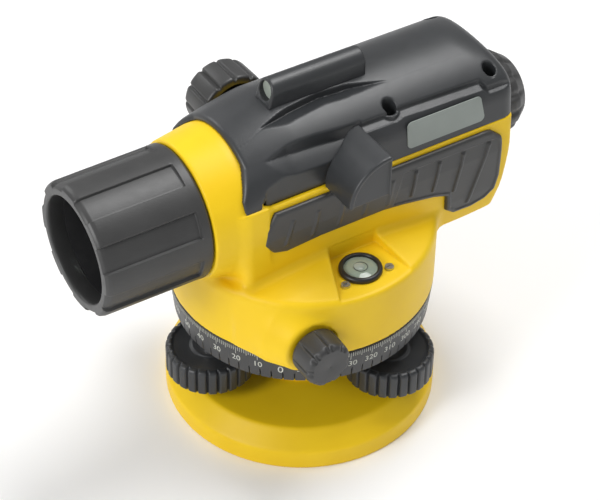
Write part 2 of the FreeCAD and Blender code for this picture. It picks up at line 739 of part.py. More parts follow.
def focus_knob():
    outline = [
        (FOCUS_KNOB_INNER, 12.4),
        (FOCUS_KNOB_INNER, FOCUS_KNOB_RADIUS - 0.6),
        (FOCUS_KNOB_INNER - 0.8, FOCUS_KNOB_RADIUS),
        (FOCUS_KNOB_OUTER + 1.4, FOCUS_KNOB_RADIUS - 0.4),
        (FOCUS_KNOB_OUTER, FOCUS_KNOB_RADIUS - 2.0),
        (FOCUS_KNOB_OUTER, 0.0),
        (-49.0, 0.0),
        (-49.0, FOCUS_SHAFT_RADIUS),
        (-40.0, FOCUS_SHAFT_RADIUS),
        (-40.0, 6.0),
        (-48.0, 6.0),
        (-48.0, 12.4),
    ]
    knob = turned_y(outline, FOCUS_X, FOCUS_Z)
    groove_z = FOCUS_Z + FOCUS_KNOB_RADIUS + 0.7
    groove = rod_y(1.4, FOCUS_KNOB_OUTER - 1, FOCUS_KNOB_INNER + 1, FOCUS_X, groove_z)
    for cutter in spread(groove, 12, vec(FOCUS_X, 0, FOCUS_Z), vec(0, 1, 0)):
        knob = knob.cut(cutter)
    return knob


def focus_shaft():
    shaft = rod_y(FOCUS_SHAFT_RADIUS, -49.0, -19.4, FOCUS_X, FOCUS_Z)
    pinion = rod_y(PINION_RADIUS, -19.4, -15.0, FOCUS_X, FOCUS_Z)
    tooth_gap = rod_y(0.42, -20.0, -14.0, FOCUS_X, FOCUS_Z + PINION_RADIUS)
    for cutter in spread(tooth_gap, PINION_TEETH, vec(FOCUS_X, 0, FOCUS_Z), vec(0, 1, 0)):
        pinion = pinion.cut(cutter)
    return shaft.fuse(pinion).removeSplitter()


def focus_bush():
    bore = rod_y(FOCUS_SHAFT_RADIUS + RUNNING, -40.0, -20.0, FOCUS_X, FOCUS_Z)
    flange = rod_y(8.0, -36.8, -35.2, FOCUS_X, FOCUS_Z)
    return rod_y(5.0, -35.2, -24.0, FOCUS_X, FOCUS_Z).fuse(flange).cut(bore).removeSplitter()


def guide_tube():
    """Fixed tube in which the focusing carriage slides, slotted for its rack."""
    tube = tube_x(14.6, 12.6, -8.0, 62.0).fuse(tube_x(BARREL_BORE, 12.6, 54.0, 60.0))
    slot = box(-9.0, 50.0, -16.0, -10.0, AXIS_HEIGHT + 1.0, AXIS_HEIGHT + 7.0)
    return tube.cut(slot).removeSplitter()


def focus_carriage():
    carriage = tube_x(12.5, 10.5, 1.0, 25.0)
    rack = box(-8.0, 33.0, -19.2, -15.2, AXIS_HEIGHT + 2.0, AXIS_HEIGHT + 5.9)
    arm = box(8.0, 16.0, -15.4, -11.2, AXIS_HEIGHT + 2.0, AXIS_HEIGHT + 5.9)
    carriage = carriage.fuse(rack).fuse(arm)
    pitch = 2.0 * math.pi * PINION_RADIUS / PINION_TEETH
    top = AXIS_HEIGHT + 5.9
    for step in range(29):
        x = -7.0 + pitch * step
        gap = [(x, top - 0.7), (x + 0.4, top - 0.7), (x + 0.6, top + 1), (x - 0.2, top + 1)]
        carriage = carriage.cut(prism_y(gap, -20.0, -15.2))
    return carriage.removeSplitter()


def focus_lens():
    return rod_x(10.5, 10.0, 14.5)


# ---------------------------------------------------------------- objective


def objective_hood():
    outline = [
        (HOOD_REAR, BARREL_SEAT_RADIUS),
        (HOOD_REAR, 28.4),
        (HOOD_REAR + 1.0, HOOD_RADIUS + 0.2),
        (HOOD_FRONT - 1.5, HOOD_RADIUS - 0.2),
        (HOOD_FRONT, 27.6),
        (HOOD_FRONT, 22.9),
        (HOOD_FRONT - 1.0, 22.5),
        (BARREL_FRONT + 0.2, 22.5),
        (BARREL_FRONT + 0.2, BARREL_SEAT_RADIUS),
    ]
    hood = turned_x(outline)
    x0 = HOOD_REAR + HOOD_BAND
    reach = HOOD_FRONT + 1.0 - x0
    ring = Part.makeCylinder(32.0, reach, vec(x0, 0, AXIS_HEIGHT), vec(1, 0, 0), PANEL_ANGLE)
    panel = ring.cut(rod_x(HOOD_RADIUS - 0.9, x0 - 1, HOOD_FRONT + 2))
    panel.rotate(vec(0, 0, AXIS_HEIGHT), vec(1, 0, 0), PANEL_FIRST)
    for cutter in spread(panel, PANEL_COUNT, vec(0, 0, AXIS_HEIGHT), vec(1, 0, 0)):
        hood = hood.cut(cutter)
    return hood


def objective_cell():
    """Black sleeve for the two lenses that lines the barrel's bore up to its mouth."""
    outline = [
        (70.0, 19.5),
        (70.0, BARREL_BORE),
        (BARREL_FRONT - 0.1, BARREL_BORE),
        (BARREL_FRONT - 0.1, 22.4),
        (89.5, 20.6),
        (76.0, 20.6),
        (76.0, 19.5),
    ]
    return turned_x(outline)


def lens(radius, x0, x1, front_bulge, rear_bulge):
    """Round lens whose two spherical faces bulge by the given heights."""
    body = rod_x(radius, x0 - rear_bulge, x1 + front_bulge)
    for tip, bulge, side in ((x1 + front_bulge, front_bulge, -1), (x0 - rear_bulge, rear_bulge, 1)):
        ball_radius = (radius**2 + bulge**2) / (2.0 * bulge)
        ball = Part.makeSphere(ball_radius, vec(tip + side * ball_radius, 0, AXIS_HEIGHT))
        body = body.common(ball)
    return body


def objective_lens_front():
    return lens(20.6, 81.4, 84.4, 2.0, 1.4)


def objective_lens_rear():
    return rod_x(20.6, 77.0, 81.4).cut(objective_lens_front())


def objective_ring():
    ring = tube_x(20.6, 18.6, 84.9, 88.2)
    slot = box(86.6, 89.0, -22.0, 22.0, AXIS_HEIGHT - 0.8, AXIS_HEIGHT + 0.8)
    return ring.cut(slot)


# -------------------------------------------------------------- compensator


def compensator_frame():
    half = 16.5
    plate = 3.0
    x0 = COMPENSATOR_X - 10.0
    x1 = COMPENSATOR_X + 10.0
    frame = box(-50.0, -14.5, -half, half, FLOOR_TOP, FLOOR_TOP + plate)
    for side in (1, -1):
        y0, y1 = sorted((side * (half - plate), side * half))
        frame = frame.fuse(box(x0, x1, y0, y1, FLOOR_TOP, FRAME_TOP))
    frame = frame.fuse(box(x0, x1, -half, half, FRAME_TOP - plate, FRAME_TOP))
    for x0, x1 in ((-50.0, -44.5), (-19.5, -14.5)):
        frame = frame.fuse(box(x0, x1, -9.0, 9.0, FLOOR_TOP, 112.0))
    return frame.removeSplitter()


def fixed_prisms():
    rear = prism_y([(-50.0, 112.0), (-44.5, 112.0), (-44.5, 130.0), (-47.0, 130.0)], -9.0, 9.0)
    front = prism_y([(-19.5, 112.0), (-14.5, 112.0), (-17.0, 130.0), (-19.5, 130.0)], -9.0, 9.0)
    return Part.makeCompound([rear, front])


def pendulum():
    half = 12.0
    plate = 3.0
    bottom = 106.0
    x0 = COMPENSATOR_X - 8.0
    x1 = COMPENSATOR_X + 8.0
    body = box(x0, x1, -half, half, PENDULUM_TOP - plate, PENDULUM_TOP)
    body = body.fuse(box(x0, x1, -half, half, bottom, bottom + plate))
    for side in (1, -1):
        y0, y1 = sorted((side * (half - plate), side * half))
        body = body.fuse(box(x0, x1, y0, y1, bottom, PENDULUM_TOP))
    return body.fuse(rod_z(4.0, 101.0, bottom, COMPENSATOR_X, 0.0)).removeSplitter()


def pendulum_prism():
    return prism_y([(-38.0, 112.0), (-26.0, 112.0), (-29.0, 128.0), (-35.0, 128.0)], -9.0, 9.0)


def suspension_tapes():
    tapes = []
    low = PENDULUM_TOP + 0.06
    high = FRAME_TOP - 3.0
    for side_y in (10.0, -10.0):
        for lean in (1, -1):
            foot = COMPENSATOR_X - 4.0 * lean
            head = COMPENSATOR_X + 2.5 * lean
            points = [(foot, low), (foot + 0.3, low), (head + 0.3, high), (head, high)]
            offset = side_y + 1.1 * lean
            tapes.append(prism_y(points, offset - 0.8, offset + 0.8))
    return Part.makeCompound(tapes)


def damper_magnet():
    return tube_z(9.0, 5.5, FLOOR_TOP + 3.0, 104.0, COMPENSATOR_X, 0.0)


# ----------------------------------------------------------------- eyepiece


def eyepiece_tube():
    outline = [
        (-97.0, 9.6),
        (-97.0, 12.0),
        (-89.5, 12.0),
        (-89.5, 15.5),
        (BODY_REAR, 15.5),
        (BODY_REAR, 12.0),
        (-58.0, 12.0),
        (-58.0, 9.6),
    ]
    return turned_x(outline)


def reticle_ring():
    return tube_x(9.6, 7.0, -66.0, -62.0)


def reticle_glass():
    return rod_x(7.0, -65.0, -63.5)


def eyepiece_cell():
    return tube_x(9.55, 7.4, -95.0, -76.0)


def eyepiece_lenses():
    eye = lens(7.4, -93.0, -90.5, 0.9, 0.4)
    field = lens(7.4, -81.5, -79.0, 0.4, 0.9)
    return Part.makeCompound([eye, field])


def eyepiece_ring():
    """Dioptre ring with grip lobes and a tapered eye end."""
    outline = [
        (-89.8, 12.05),
        (-89.8, 18.4),
        (-90.6, 19.2),
        (-99.0, 18.6),
        (-99.8, 17.8),
        (-104.5, 14.6),
        (-105.0, 13.6),
        (-105.0, 8.6),
        (-101.5, 8.6),
        (-100.0, 12.05),
    ]
    ring = turned_x(outline)
    groove = rod_x(1.5, -101.0, -89.0, 0.0, AXIS_HEIGHT + 19.8)
    for cutter in spread(groove, 12, vec(0, 0, AXIS_HEIGHT), vec(1, 0, 0)):
        ring = ring.cut(cutter)
    return ring


# ------------------------------------------------------------------- export

save("base_plate", base_plate())
save("tripod_bush", tripod_bush())
save("spring_plate", spring_plate())
save("spring_plate_screws", spring_plate_screws())
for number in range(FOOT_COUNT):
    save("foot_knob_" + str(number + 1), foot_knob(number))
    save("foot_spindle_" + str(number + 1), foot_spindle(number))
save("foot_screw_bushes", foot_screw_bushes())
save("levelling_head", levelling_head())
save("axis_spindle", axis_spindle())
save("axis_retainer", axis_retainer())
save("horizontal_circle", horizontal_circle())
save("clutch_wheel", clutch_wheel())
save("body_housing", body_housing())
save("axis_bush", axis_bush())
save("top_cover", top_cover())
save("cover_screws", cover_screws())
save("label_plate", label_plate())
save("side_grip_left", side_grip(1))
save("side_grip_right", side_grip(-1))
save("collimator_sight", collimator_sight())
save("sight_lens", sight_lens())
save("mirror_hood", mirror_hood())
save("mirror_glass", mirror_glass())
save("bubble_cup", bubble_cup())
save("bubble_vial", bubble_vial())
save("bubble_screws", bubble_screws())
save("drive_shaft", drive_shaft())
save("drive_bushes", drive_bushes())
save("drive_knob_left", drive_knob(1))
save("drive_knob_right", drive_knob(-1))
save("focus_knob", focus_knob())
save("focus_shaft", focus_shaft())
save("focus_bush", focus_bush())
save("guide_tube", guide_tube())
save("focus_carriage", focus_carriage())
save("focus_lens", focus_lens())
save("objective_hood", objective_hood())
save("objective_cell", objective_cell())
save("objective_lens_front", objective_lens_front())
save("objective_lens_rear", objective_lens_rear())
save("objective_ring", objective_ring())
save("compensator_frame", compensator_frame())
save("fixed_prisms", fixed_prisms())
save("pendulum", pendulum())
save("pendulum_prism", pendulum_prism())
save("suspension_tapes", suspension_tapes())
save("damper_magnet", damper_magnet())
save("eyepiece_tube", eyepiece_tube())
save("reticle_ring", reticle_ring())
save("reticle_glass", reticle_glass())
save("eyepiece_cell", eyepiece_cell())
save("eyepiece_lenses", eyepiece_lenses())
save("eyepiece_ring", eyepiece_ring())
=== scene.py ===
import json
import math

import bpy
import numpy as np
from mathutils import Matrix, Vector


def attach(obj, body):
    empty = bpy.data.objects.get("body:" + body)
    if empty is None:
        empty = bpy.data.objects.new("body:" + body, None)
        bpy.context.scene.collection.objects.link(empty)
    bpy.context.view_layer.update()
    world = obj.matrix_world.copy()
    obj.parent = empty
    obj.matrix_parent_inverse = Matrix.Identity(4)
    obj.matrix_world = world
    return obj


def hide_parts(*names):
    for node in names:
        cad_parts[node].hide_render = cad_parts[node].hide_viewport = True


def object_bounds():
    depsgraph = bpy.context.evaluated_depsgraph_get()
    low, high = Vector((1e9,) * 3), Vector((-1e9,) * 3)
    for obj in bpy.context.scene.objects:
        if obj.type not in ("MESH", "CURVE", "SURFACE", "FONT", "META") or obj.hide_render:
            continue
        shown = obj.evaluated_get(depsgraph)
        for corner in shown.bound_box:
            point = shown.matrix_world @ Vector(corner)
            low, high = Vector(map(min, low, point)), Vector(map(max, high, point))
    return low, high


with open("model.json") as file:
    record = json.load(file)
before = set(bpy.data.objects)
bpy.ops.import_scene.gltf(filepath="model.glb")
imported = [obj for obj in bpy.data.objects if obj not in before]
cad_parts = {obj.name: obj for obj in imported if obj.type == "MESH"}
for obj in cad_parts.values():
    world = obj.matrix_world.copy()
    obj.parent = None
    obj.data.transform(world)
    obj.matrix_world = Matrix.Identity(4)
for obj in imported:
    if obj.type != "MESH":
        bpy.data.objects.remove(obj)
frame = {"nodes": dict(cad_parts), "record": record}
cad_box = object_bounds()
MM = 0.001
SMOOTH_BELOW = math.radians(28)


# ------------------------------------------------------- shapes as distance fields
class Grid:
    """Sample points of a block of space, in millimetres."""

    def __init__(self, low, high, step):
        self.low = np.array(low, dtype=float)
        self.step = step
        counts = np.ceil((np.array(high) - self.low) / step).astype(int) + 1
        axes = [(self.low[i] + step * np.arange(counts[i])).astype(np.float32) for i in range(3)]
        self.x = axes[0][:, None, None]
        self.y = axes[1][None, :, None]
        self.z = axes[2][None, None, :]


def join(a, b, soft=0.0):
    """Union of two solids, with a fillet of about the given size where they meet."""
    if soft == 0.0:
        return np.minimum(a, b)
    h = np.clip(0.5 + 0.5 * (b - a) / soft, 0.0, 1.0)
    return b * (1 - h) + a * h - soft * h * (1 - h)


def common(a, b, soft=0.0):
    """The shared part of two solids, with its edges rounded."""
    return -join(-a, -b, soft)


def carve(a, b, soft=0.0):
    """Solid a less solid b, with rounded edges."""
    return common(a, -b, soft)


def block(g, x0, x1, y0, y1, z0, z1, soft=0.0):
    """A box, with edges rounded by the given radius."""
    dx = np.abs(g.x - (x0 + x1) / 2) - ((x1 - x0) / 2 - soft)
    dy = np.abs(g.y - (y0 + y1) / 2) - ((y1 - y0) / 2 - soft)
    dz = np.abs(g.z - (z0 + z1) / 2) - ((z1 - z0) / 2 - soft)
    outside = np.sqrt(np.maximum(dx, 0) ** 2 + np.maximum(dy, 0) ** 2 + np.maximum(dz, 0) ** 2)
    return outside + np.minimum(np.maximum(np.maximum(dx, dy), dz), 0) - soft


def rod(across, along, radius, start, stop, soft=0.0):
    """A round bar: across is the distance from its centre line, along the place on it."""
    side = across - radius
    ends = np.abs(along - (start + stop) / 2) - abs(stop - start) / 2
    return common(side, ends, soft)


def outline_distance(u, v, points):
    """Signed distance to a closed outline in a plane; u and v broadcast against each other."""
    u, v = np.broadcast_arrays(u, v)
    best = np.full(u.shape, 1e9, dtype=np.float32)
    inside = np.zeros(u.shape, dtype=bool)
    count = len(points)
    for i in range(count):
        au, av = points[i]
        bu, bv = points[(i + 1) % count]
        du, dv = bu - au, bv - av
        t = np.clip(((u - au) * du + (v - av) * dv) / (du * du + dv * dv), 0, 1)
        best = np.minimum(best, np.hypot(u - au - t * du, v - av - t * dv))
        if av != bv:
            crosses = ((av > v) != (bv > v)) & (u < (bu - au) * (v - av) / (bv - av) + au)
            inside ^= crosses
    return np.where(inside, -best, best)


def skin(values, grid):
    """Closed surface where the sampled field is zero: (points in mm, four-sided faces)."""
    sign = values < 0
    total = np.zeros([n - 1 for n in values.shape], dtype=np.int8)
    nx, ny, nz = total.shape
    corners = [(i, j, k) for i in (0, 1) for j in (0, 1) for k in (0, 1)]
    for i, j, k in corners:
        total += sign[i : i + nx, j : j + ny, k : k + nz]
    cells = np.argwhere((total > 0) & (total < 8))
    index = np.full(total.shape, -1, dtype=np.int32)
    index[tuple(cells.T)] = np.arange(len(cells))
    placed = np.zeros((len(cells), 3))
    hits = np.zeros(len(cells))
    for a in corners:
        for axis in range(3):
            if a[axis]:
                continue
            b = list(a)
            b[axis] = 1
            va = values[tuple((cells + a).T)]
            vb = values[tuple((cells + b).T)]
            cut = (va < 0) != (vb < 0)
            spot = np.zeros((cut.sum(), 3)) + a
            spot[:, axis] += va[cut] / (va[cut] - vb[cut])
            placed[cut] += spot
            hits[cut] += 1
    points = grid.low + grid.step * (placed / hits[:, None] + cells)
    faces = []
    for axis in range(3):
        other, last = (axis + 1) % 3, (axis + 2) % 3
        ahead = [slice(None)] * 3
        behind = [slice(None)] * 3
        ahead[axis], behind[axis] = slice(1, None), slice(None, -1)
        change = sign[tuple(behind)].astype(np.int8) - sign[tuple(ahead)].astype(np.int8)
        edges = np.argwhere(change != 0)
        edges = edges[(edges[:, other] > 0) & (edges[:, last] > 0)]
        way = change[tuple(edges.T)]
        ring = []
        for step_other, step_last in ((1, 1), (0, 1), (0, 0), (1, 0)):
            cell = edges.copy()
            cell[:, other] -= step_other
            cell[:, last] -= step_last
            ring.append(index[tuple(cell.T)])
        quads = np.stack(ring, axis=1)
        quads[way < 0] = quads[way < 0][:, ::-1]
        faces.append(quads)
    return points, np.concatenate(faces)


def mesh_object(name, points, faces):
    """A mesh piece from points in millimetres and equal-sided faces."""
    mesh = bpy.data.meshes.new(name)
    faces = np.asarray(faces, dtype=np.int32)
    sides = faces.shape[1]
    mesh.vertices.add(len(points))
    mesh.vertices.foreach_set("co", (np.asarray(points, dtype=float) * MM).ravel())
    mesh.loops.add(faces.size)
    mesh.loops.foreach_set("vertex_index", faces.ravel())
    mesh.polygons.add(len(faces))
    mesh.polygons.foreach_set("loop_start", np.arange(0, faces.size, sides, dtype=np.int32))
    mesh.update(calc_edges=True)
    mesh.validate()
    thing = bpy.data.objects.new(name, mesh)
    bpy.context.scene.collection.objects.link(thing)
    mesh.shade_smooth()
    return thing


def modelled(name, values, grid):
    """A mesh piece from a sampled field."""
    points, faces = skin(values, grid)
    return mesh_object(name, points, faces)


# ------------------------------------------------------------- turned shapes
def softened(outline, radius, steps=3):
    """A closed outline whose corners are cut back into short curves."""
    made = []
    count = len(outline)
    for i in range(count):
        here = np.array(outline[i], dtype=float)
        before = np.array(outline[i - 1], dtype=float) - here
        after = np.array(outline[(i + 1) % count], dtype=float) - here
        reach = min(radius, 0.45 * np.hypot(*before), 0.45 * np.hypot(*after))
        start = here + before / np.hypot(*before) * reach
        stop = here + after / np.hypot(*after) * reach
        for s in range(steps + 1):
            t = s / steps
            made.append(tuple((1 - t) ** 2 * start + 2 * t * (1 - t) * here + t * t * stop))
    return made


def turned(name, outline, segments, place, reshape=None):
    """A ring or knob: the closed outline of (radius, height) carried round an axis.

    reshape moves each (radius, height, angle); place turns (u, v, height) into x, y, z.
    """
    radius = np.array([p[0] for p in outline])[:, None]
    height = np.array([p[1] for p in outline])[:, None]
    angle = np.linspace(0, 2 * math.pi, segments, endpoint=False)[None, :]
    radius, height, angle = np.broadcast_arrays(radius, height, angle)
    if reshape:
        radius, height = reshape(radius, height, angle)
    x, y, z = place(radius * np.cos(angle), radius * np.sin(angle), height)
    points = np.stack([x + 0 * angle, y + 0 * angle, z + 0 * angle], axis=-1).reshape(-1, 3)
    rows = len(outline)
    index = np.arange(rows * segments).reshape(rows, segments)
    down = np.roll(index, -1, axis=0)
    faces = np.stack([index, np.roll(index, -1, axis=1), np.roll(down, -1, axis=1), down], axis=-1)
    thing = mesh_object(name, points, faces.reshape(-1, 4))
    area = 0.0
    for i in range(rows):
        r0, h0 = outline[i]
        r1, h1 = outline[(i + 1) % rows]
        area += r0 * h1 - r1 * h0
    if area < 0:
        thing.data.flip_normals()
    thing.data.set_sharp_from_angle(angle=SMOOTH_BELOW)
    return thing


def upright(cx, cy):
    return lambda u, v, h: (cx + u, cy + v, h)


def along_x(cy, cz):
    return lambda u, v, h: (h, cy + u, cz + v)


def along_y(cx, cz):
    return lambda u, v, h: (cx + v, h, cz + u)


def lobes(angle, count, sharp, phase=0.0):
    """0 on the lands and 1 in the middle of each of the evenly spaced grooves."""
    wave = 0.5 + 0.5 * np.cos(count * (angle - phase))
    return wave**sharp


def step_between(value, start, stop):
    """Smooth step from 0 at start to 1 at stop."""
    t = np.clip((value - start) / (stop - start), 0, 1)
    return t * t * (3 - 2 * t)


# ------------------------------------------------- main dimensions, in millimetres
AXIS = 121.0  # height of the line of sight
SPLIT = 132.4  # height of the joint between housing and cover
REAR = -86.5
FRONT = 46.0
WALL = 3.0
FLOOR = 96.0  # floor of the hollow that holds the optics
BARREL_BORE = 23.0
BARREL_SEAT = 26.0  # radius of the barrel under the lens hood
EYEPIECE_HOLE = 12.0
DRUM = 57.5
DRUM_LOW = 63.6
DRUM_HIGH = 93.5
DRIVE = (28.5, 72.3)  # x and z of the cross shaft
FOCUS = (11.5, 130.3)  # x and z of the focusing shaft
BUBBLE = (-1.8, 42.0)  # x and y of the circular bubble
POCKET_FLOOR = 92.3
COVER_SCREWS = [(x, y) for x in (-27.0, -77.0) for y in (-21.0, 21.0)]
SCREW_BOSS_TOP = 151.0
MIRROR_X = -10.8
MIRROR_RADIUS = 19.6
MIRROR_END = 48.0
SIGHT_AXIS = 165.2
SIGHT_RADIUS = 5.4
HOOD_REAR = 59.6
HOOD_FRONT = 107.5
HOOD_RADIUS = 28.9
HOOD_PANELS = 8
HOOD_FIRST_PANEL = math.radians(26.0)
FOOT_COUNT = 3
FOOT_REACH = 44.8  # distance of the foot screws from the standing axis
FOOT_FIRST = math.radians(-3.0)
FOOT_STEP = 2 * math.pi / FOOT_COUNT
BALL_HEIGHT = 12.6
BALL_SEAT = 5.2
LEAF_SCREW_REACH = 19.0
BASE_RADIUS = 60.5
BASE_TOP = 16.7
BASE_HOLLOW_TOP = 5.0
BUSH_RADIUS = 14.0
RING_LOW = 48.4
RING_HIGH = 63.3
RING_LOW_RADIUS = 55.9
RING_HIGH_RADIUS = 57.4
SCALE_RADIUS = 57.0  # where the marks and numbers are wrapped
SCALE_TOP = 62.9
INDEX_ANGLE = math.radians(49.0)  # where the circle's zero meets the pointer

# place of each rib at mid height, its slant, and the height of its foot
GRIP_MIDDLE = 112.0
GRIP_RIBS = [
    (29.2, 0.3, 112.6),
    (16.4, 0.22, 112.6),
    (3.9, 0.22, 112.6),
    (-8.3, 0.2, 112.6),
    (-20.5, 0.18, 112.4),
    (-32.7, 0.15, 111.8),
    (-44.2, 0.17, 109.4),
    (-56.2, 0.18, 104.6),
    (-68.1, 0.29, 94.6),
]


def through(value, *pairs):
    """Straight stretches through the (place, value) pairs."""
    places, values = zip(*pairs)
    return np.interp(value, places, values).astype(np.float32)


def from_axis(g):
    """Distance from the line of sight."""
    return np.hypot(g.y, g.z - AXIS)


def tail_of(g):
    """Where the housing ends at the back: upright at the top, then sloping in below."""
    return through(g.z, (79.0, -78.5), (85.0, -80.5), (94.0, -83.3), (106.0, -85.5), (113.0, REAR))


def housing_box(g):
    """The body that carries the telescope, with its tail cut away below."""
    half = [(30.3, 142.0), (30.3, SPLIT), (31.0, 118.0), (30.0, 98.0), (28.2, 83.5), (23.5, 79.5)]
    section = outline_distance(g.y, g.z, half + [(-y, z) for y, z in reversed(half)])
    length = np.abs(g.x - (REAR + FRONT) / 2) - (FRONT - REAR) / 2
    body = common(section, length, 4.5)
    body = common(body, (tail_of(g) - g.x) * 0.95, 3.0)
    body = common(body, 82.0 - 0.1 * (g.x + 60.0) - g.z, 1.5)
    return common(body, g.z - SPLIT)


def with_drum(body, g):
    """Adds the drum, whose roof rises a little towards the body."""
    round_z = np.hypot(g.x, g.y)
    roof = DRUM_HIGH + 0.17 * np.clip(54.0 - round_z, 0.0, 26.0)
    drum = common(round_z - DRUM, g.z - roof, 4.0)
    return join(body, common(drum, DRUM_LOW - g.z, 0.6), 4.0)


def with_barrel(body, g):
    """Adds the collar that shows in front of the cover and the seat of the lens hood."""
    around = from_axis(g)
    cone = np.interp(g.x, [30.0, 44.0, 59.3], [32.2, 32.0, 29.8])
    root = common(around - cone, np.abs(g.x - 44.6) - 14.7, 1.0)
    root = common(root, np.maximum(g.z - SPLIT, 37.0 - g.x))
    body = join(body, root, 4.5)
    body = np.minimum(body, common(around - cone, np.abs(g.x - 48.2) - 11.1, 0.8))
    return np.minimum(body, common(around - BARREL_SEAT, np.abs(g.x - 69.5) - 29.7))


def with_bosses(body, g):
    """Adds the two drive bosses, the pointer over the circle and the focusing boss."""
    across = np.hypot(g.x - DRIVE[0], g.z - DRIVE[1])
    for side in (1, -1):
        taper = through(side * g.y, (30.0, 21.0), (43.0, 18.2), (52.7, 12.2))
        boss = common((across - taper) * 0.9, np.abs(side * g.y - 41.35) - 11.35, 1.2)
        body = join(body, boss, 5.0)
    round_z = np.hypot(g.x, g.y)
    body = carve(body, np.maximum(round_z - (DRUM + 2.2), g.z - DRUM_LOW))
    past_boss = step_between(np.hypot(g.x - DRIVE[0], 0.6 * (g.z - DRIVE[1])), 8.5, 12.5)
    body = common(body, 58.6 + 5.0 * past_boss - g.z, 1.0)

    tangent = g.y * math.cos(INDEX_ANGLE) - g.x * math.sin(INDEX_ANGLE)
    outward = g.x * math.cos(INDEX_ANGLE) + g.y * math.sin(INDEX_ANGLE)
    point = outline_distance(tangent, g.z, [(-1.4, 66.0), (1.4, 66.0), (0.3, 62.4), (-0.3, 62.4)])
    point = common(point, np.abs(outward - 58.2) - 1.1, 0.5)
    body = join(body, np.maximum(point, (DRUM + 0.35) - round_z), 0.8)

    boss = rod(np.hypot(g.x - FOCUS[0], g.z - FOCUS[1]), g.y, 11.0, -35.2, -25.0, 0.8)
    return join(body, boss, 1.0)


def without_pocket(body, g):
    """Cuts the flat bottomed pocket for the circular bubble."""
    pocket = [(5.5, 31.2), (-16.0, 31.2), (-19.0, 58.0), (16.0, 58.0)]
    pocket = outline_distance(g.x, g.y, pocket) - 1.2
    pocket = np.maximum(np.maximum(pocket, POCKET_FLOOR - g.z), g.z - 99.0)
    return carve(body, pocket, 0.9)


def without_hollows(body, g):
    """Cuts the rooms for the optics and the friction wheel, and leaves the hub between them."""
    round_z = np.hypot(g.x, g.y)
    hollow = block(g, REAR + WALL, FRONT - 8.5, -27.8, 27.8, FLOOR, 145.0, 1.0)
    hollow = np.maximum(hollow, tail_of(g) + WALL - g.x)
    hollow = np.minimum(hollow, block(g, -77.0, -56.0, -17.0, 17.0, 86.5, 97.5))
    hollow = np.minimum(hollow, rod(round_z, g.z, 54.0, 50.0, 86.0))
    hollow = np.minimum(hollow, rod(round_z, g.z, 14.2, 60.0, 77.0))
    drum_roof = carve(rod(round_z, g.z, 60.0, 86.0, FLOOR), rod(round_z, g.z, 12.0, 50.0, 97.0))
    body = carve(body, carve(hollow, drum_roof))
    hub = carve(rod(round_z, g.z, 14.0, 77.0, 92.0), rod(round_z, g.z, 12.0, 70.0, 97.0))
    return carve(np.minimum(body, hub), rod(round_z, g.z, 12.0, 70.0, 97.0))


def without_holes(body, g):
    """Cuts the bores for the barrel, eyepiece, bubble, shafts and screws."""
    around = from_axis(g)
    body = carve(body, rod(around, g.x, BARREL_BORE, 37.0, 103.0))
    body = carve(body, rod(around, g.x, EYEPIECE_HOLE, REAR - 2, REAR + 4))
    cup = np.hypot(g.x - BUBBLE[0], g.y - BUBBLE[1])
    body = carve(body, rod(cup, g.z, 8.05, 80.0, 96.0))
    across = np.hypot(g.x - DRIVE[0], g.z - DRIVE[1])
    for side in (1, -1):
        body = carve(body, rod(across, side * g.y, 5.5, 30.0, 54.0))
        body = carve(body, rod(across, side * g.y, 11.1, 52.7, 70.0))
    body = carve(body, rod(np.hypot(g.x - FOCUS[0], g.z - FOCUS[1]), g.y, 5.0, -36.0, -20.0))
    for x, y in COVER_SCREWS:
        across = np.hypot(g.x - x, g.y - y)
        body = np.minimum(body, rod(across, g.z, 3.4, 95.0, SPLIT))
        body = carve(body, rod(across, g.z, 1.5, 110.0, SPLIT + 2))
    return body


def housing():
    """Cast telescope housing with its drum, barrel, drive bosses and hollows."""
    g = Grid((-88.2, -58.2, 56.4), (101.4, 58.2, 155.0), 0.6)
    body = housing_box(g)
    for change in (with_drum, with_barrel, with_bosses, without_pocket, without_hollows, without_holes):
        body = change(body, g)
    return modelled("housing_casting", body, g)


def crown_height(x, y):
    """Height of the cover's crowned top, which falls towards the barrel."""
    crown = 123.6 + np.sqrt(np.maximum(36.9**2 - y**2, 1.0))
    spine = 160.3 - 0.02 * y**2
    crown = np.where(np.abs(y) < 8.0, np.maximum(crown, spine), crown)
    nose = 6.2 * np.clip((x - 17.0) / 27.0, 0, 2) ** 1.25
    return crown - nose


def cover_outside(g, top):
    """The cover's outer form, which ends further back over the collar than at its sides."""
    wall = through(g.z, (131.0, 30.4), (SPLIT, 30.3), (149.4, 28.6), (165.0, 26.0))
    shell = common((g.z - top) * 0.85, np.abs(g.y) - wall, 4.0)
    lip = through(g.z, (132.0, 46.4), (138.5, 46.2), (144.5, 43.4), (148.5, 41.2), (160.0, 40.8))
    shell = common(shell, (g.x - lip) * 0.9, 1.6)
    shell = common(shell, REAR - g.x, 7.0)
    return common(shell, (REAR - g.x) * 0.6 + (g.z - 155.5) * 0.8, 8.0)


def without_blade(shell, g, top):
    """Cuts the curved groove beside the sight, deepest in its middle."""
    line = through(g.x, (-34.0, 12.5), (-15.0, 6.6), (-2.0, 5.6), (13.0, 7.4), (27.0, 10.5), (34.0, 13.0))
    deep = 3.3 * step_between(g.x, -36.0, -10.0) * (1 - step_between(g.x, 15.0, 31.0))
    ramp = top - deep + (g.y - line) * 0.5
    return carve(shell, np.maximum(line - g.y, ramp - g.z), 0.35)


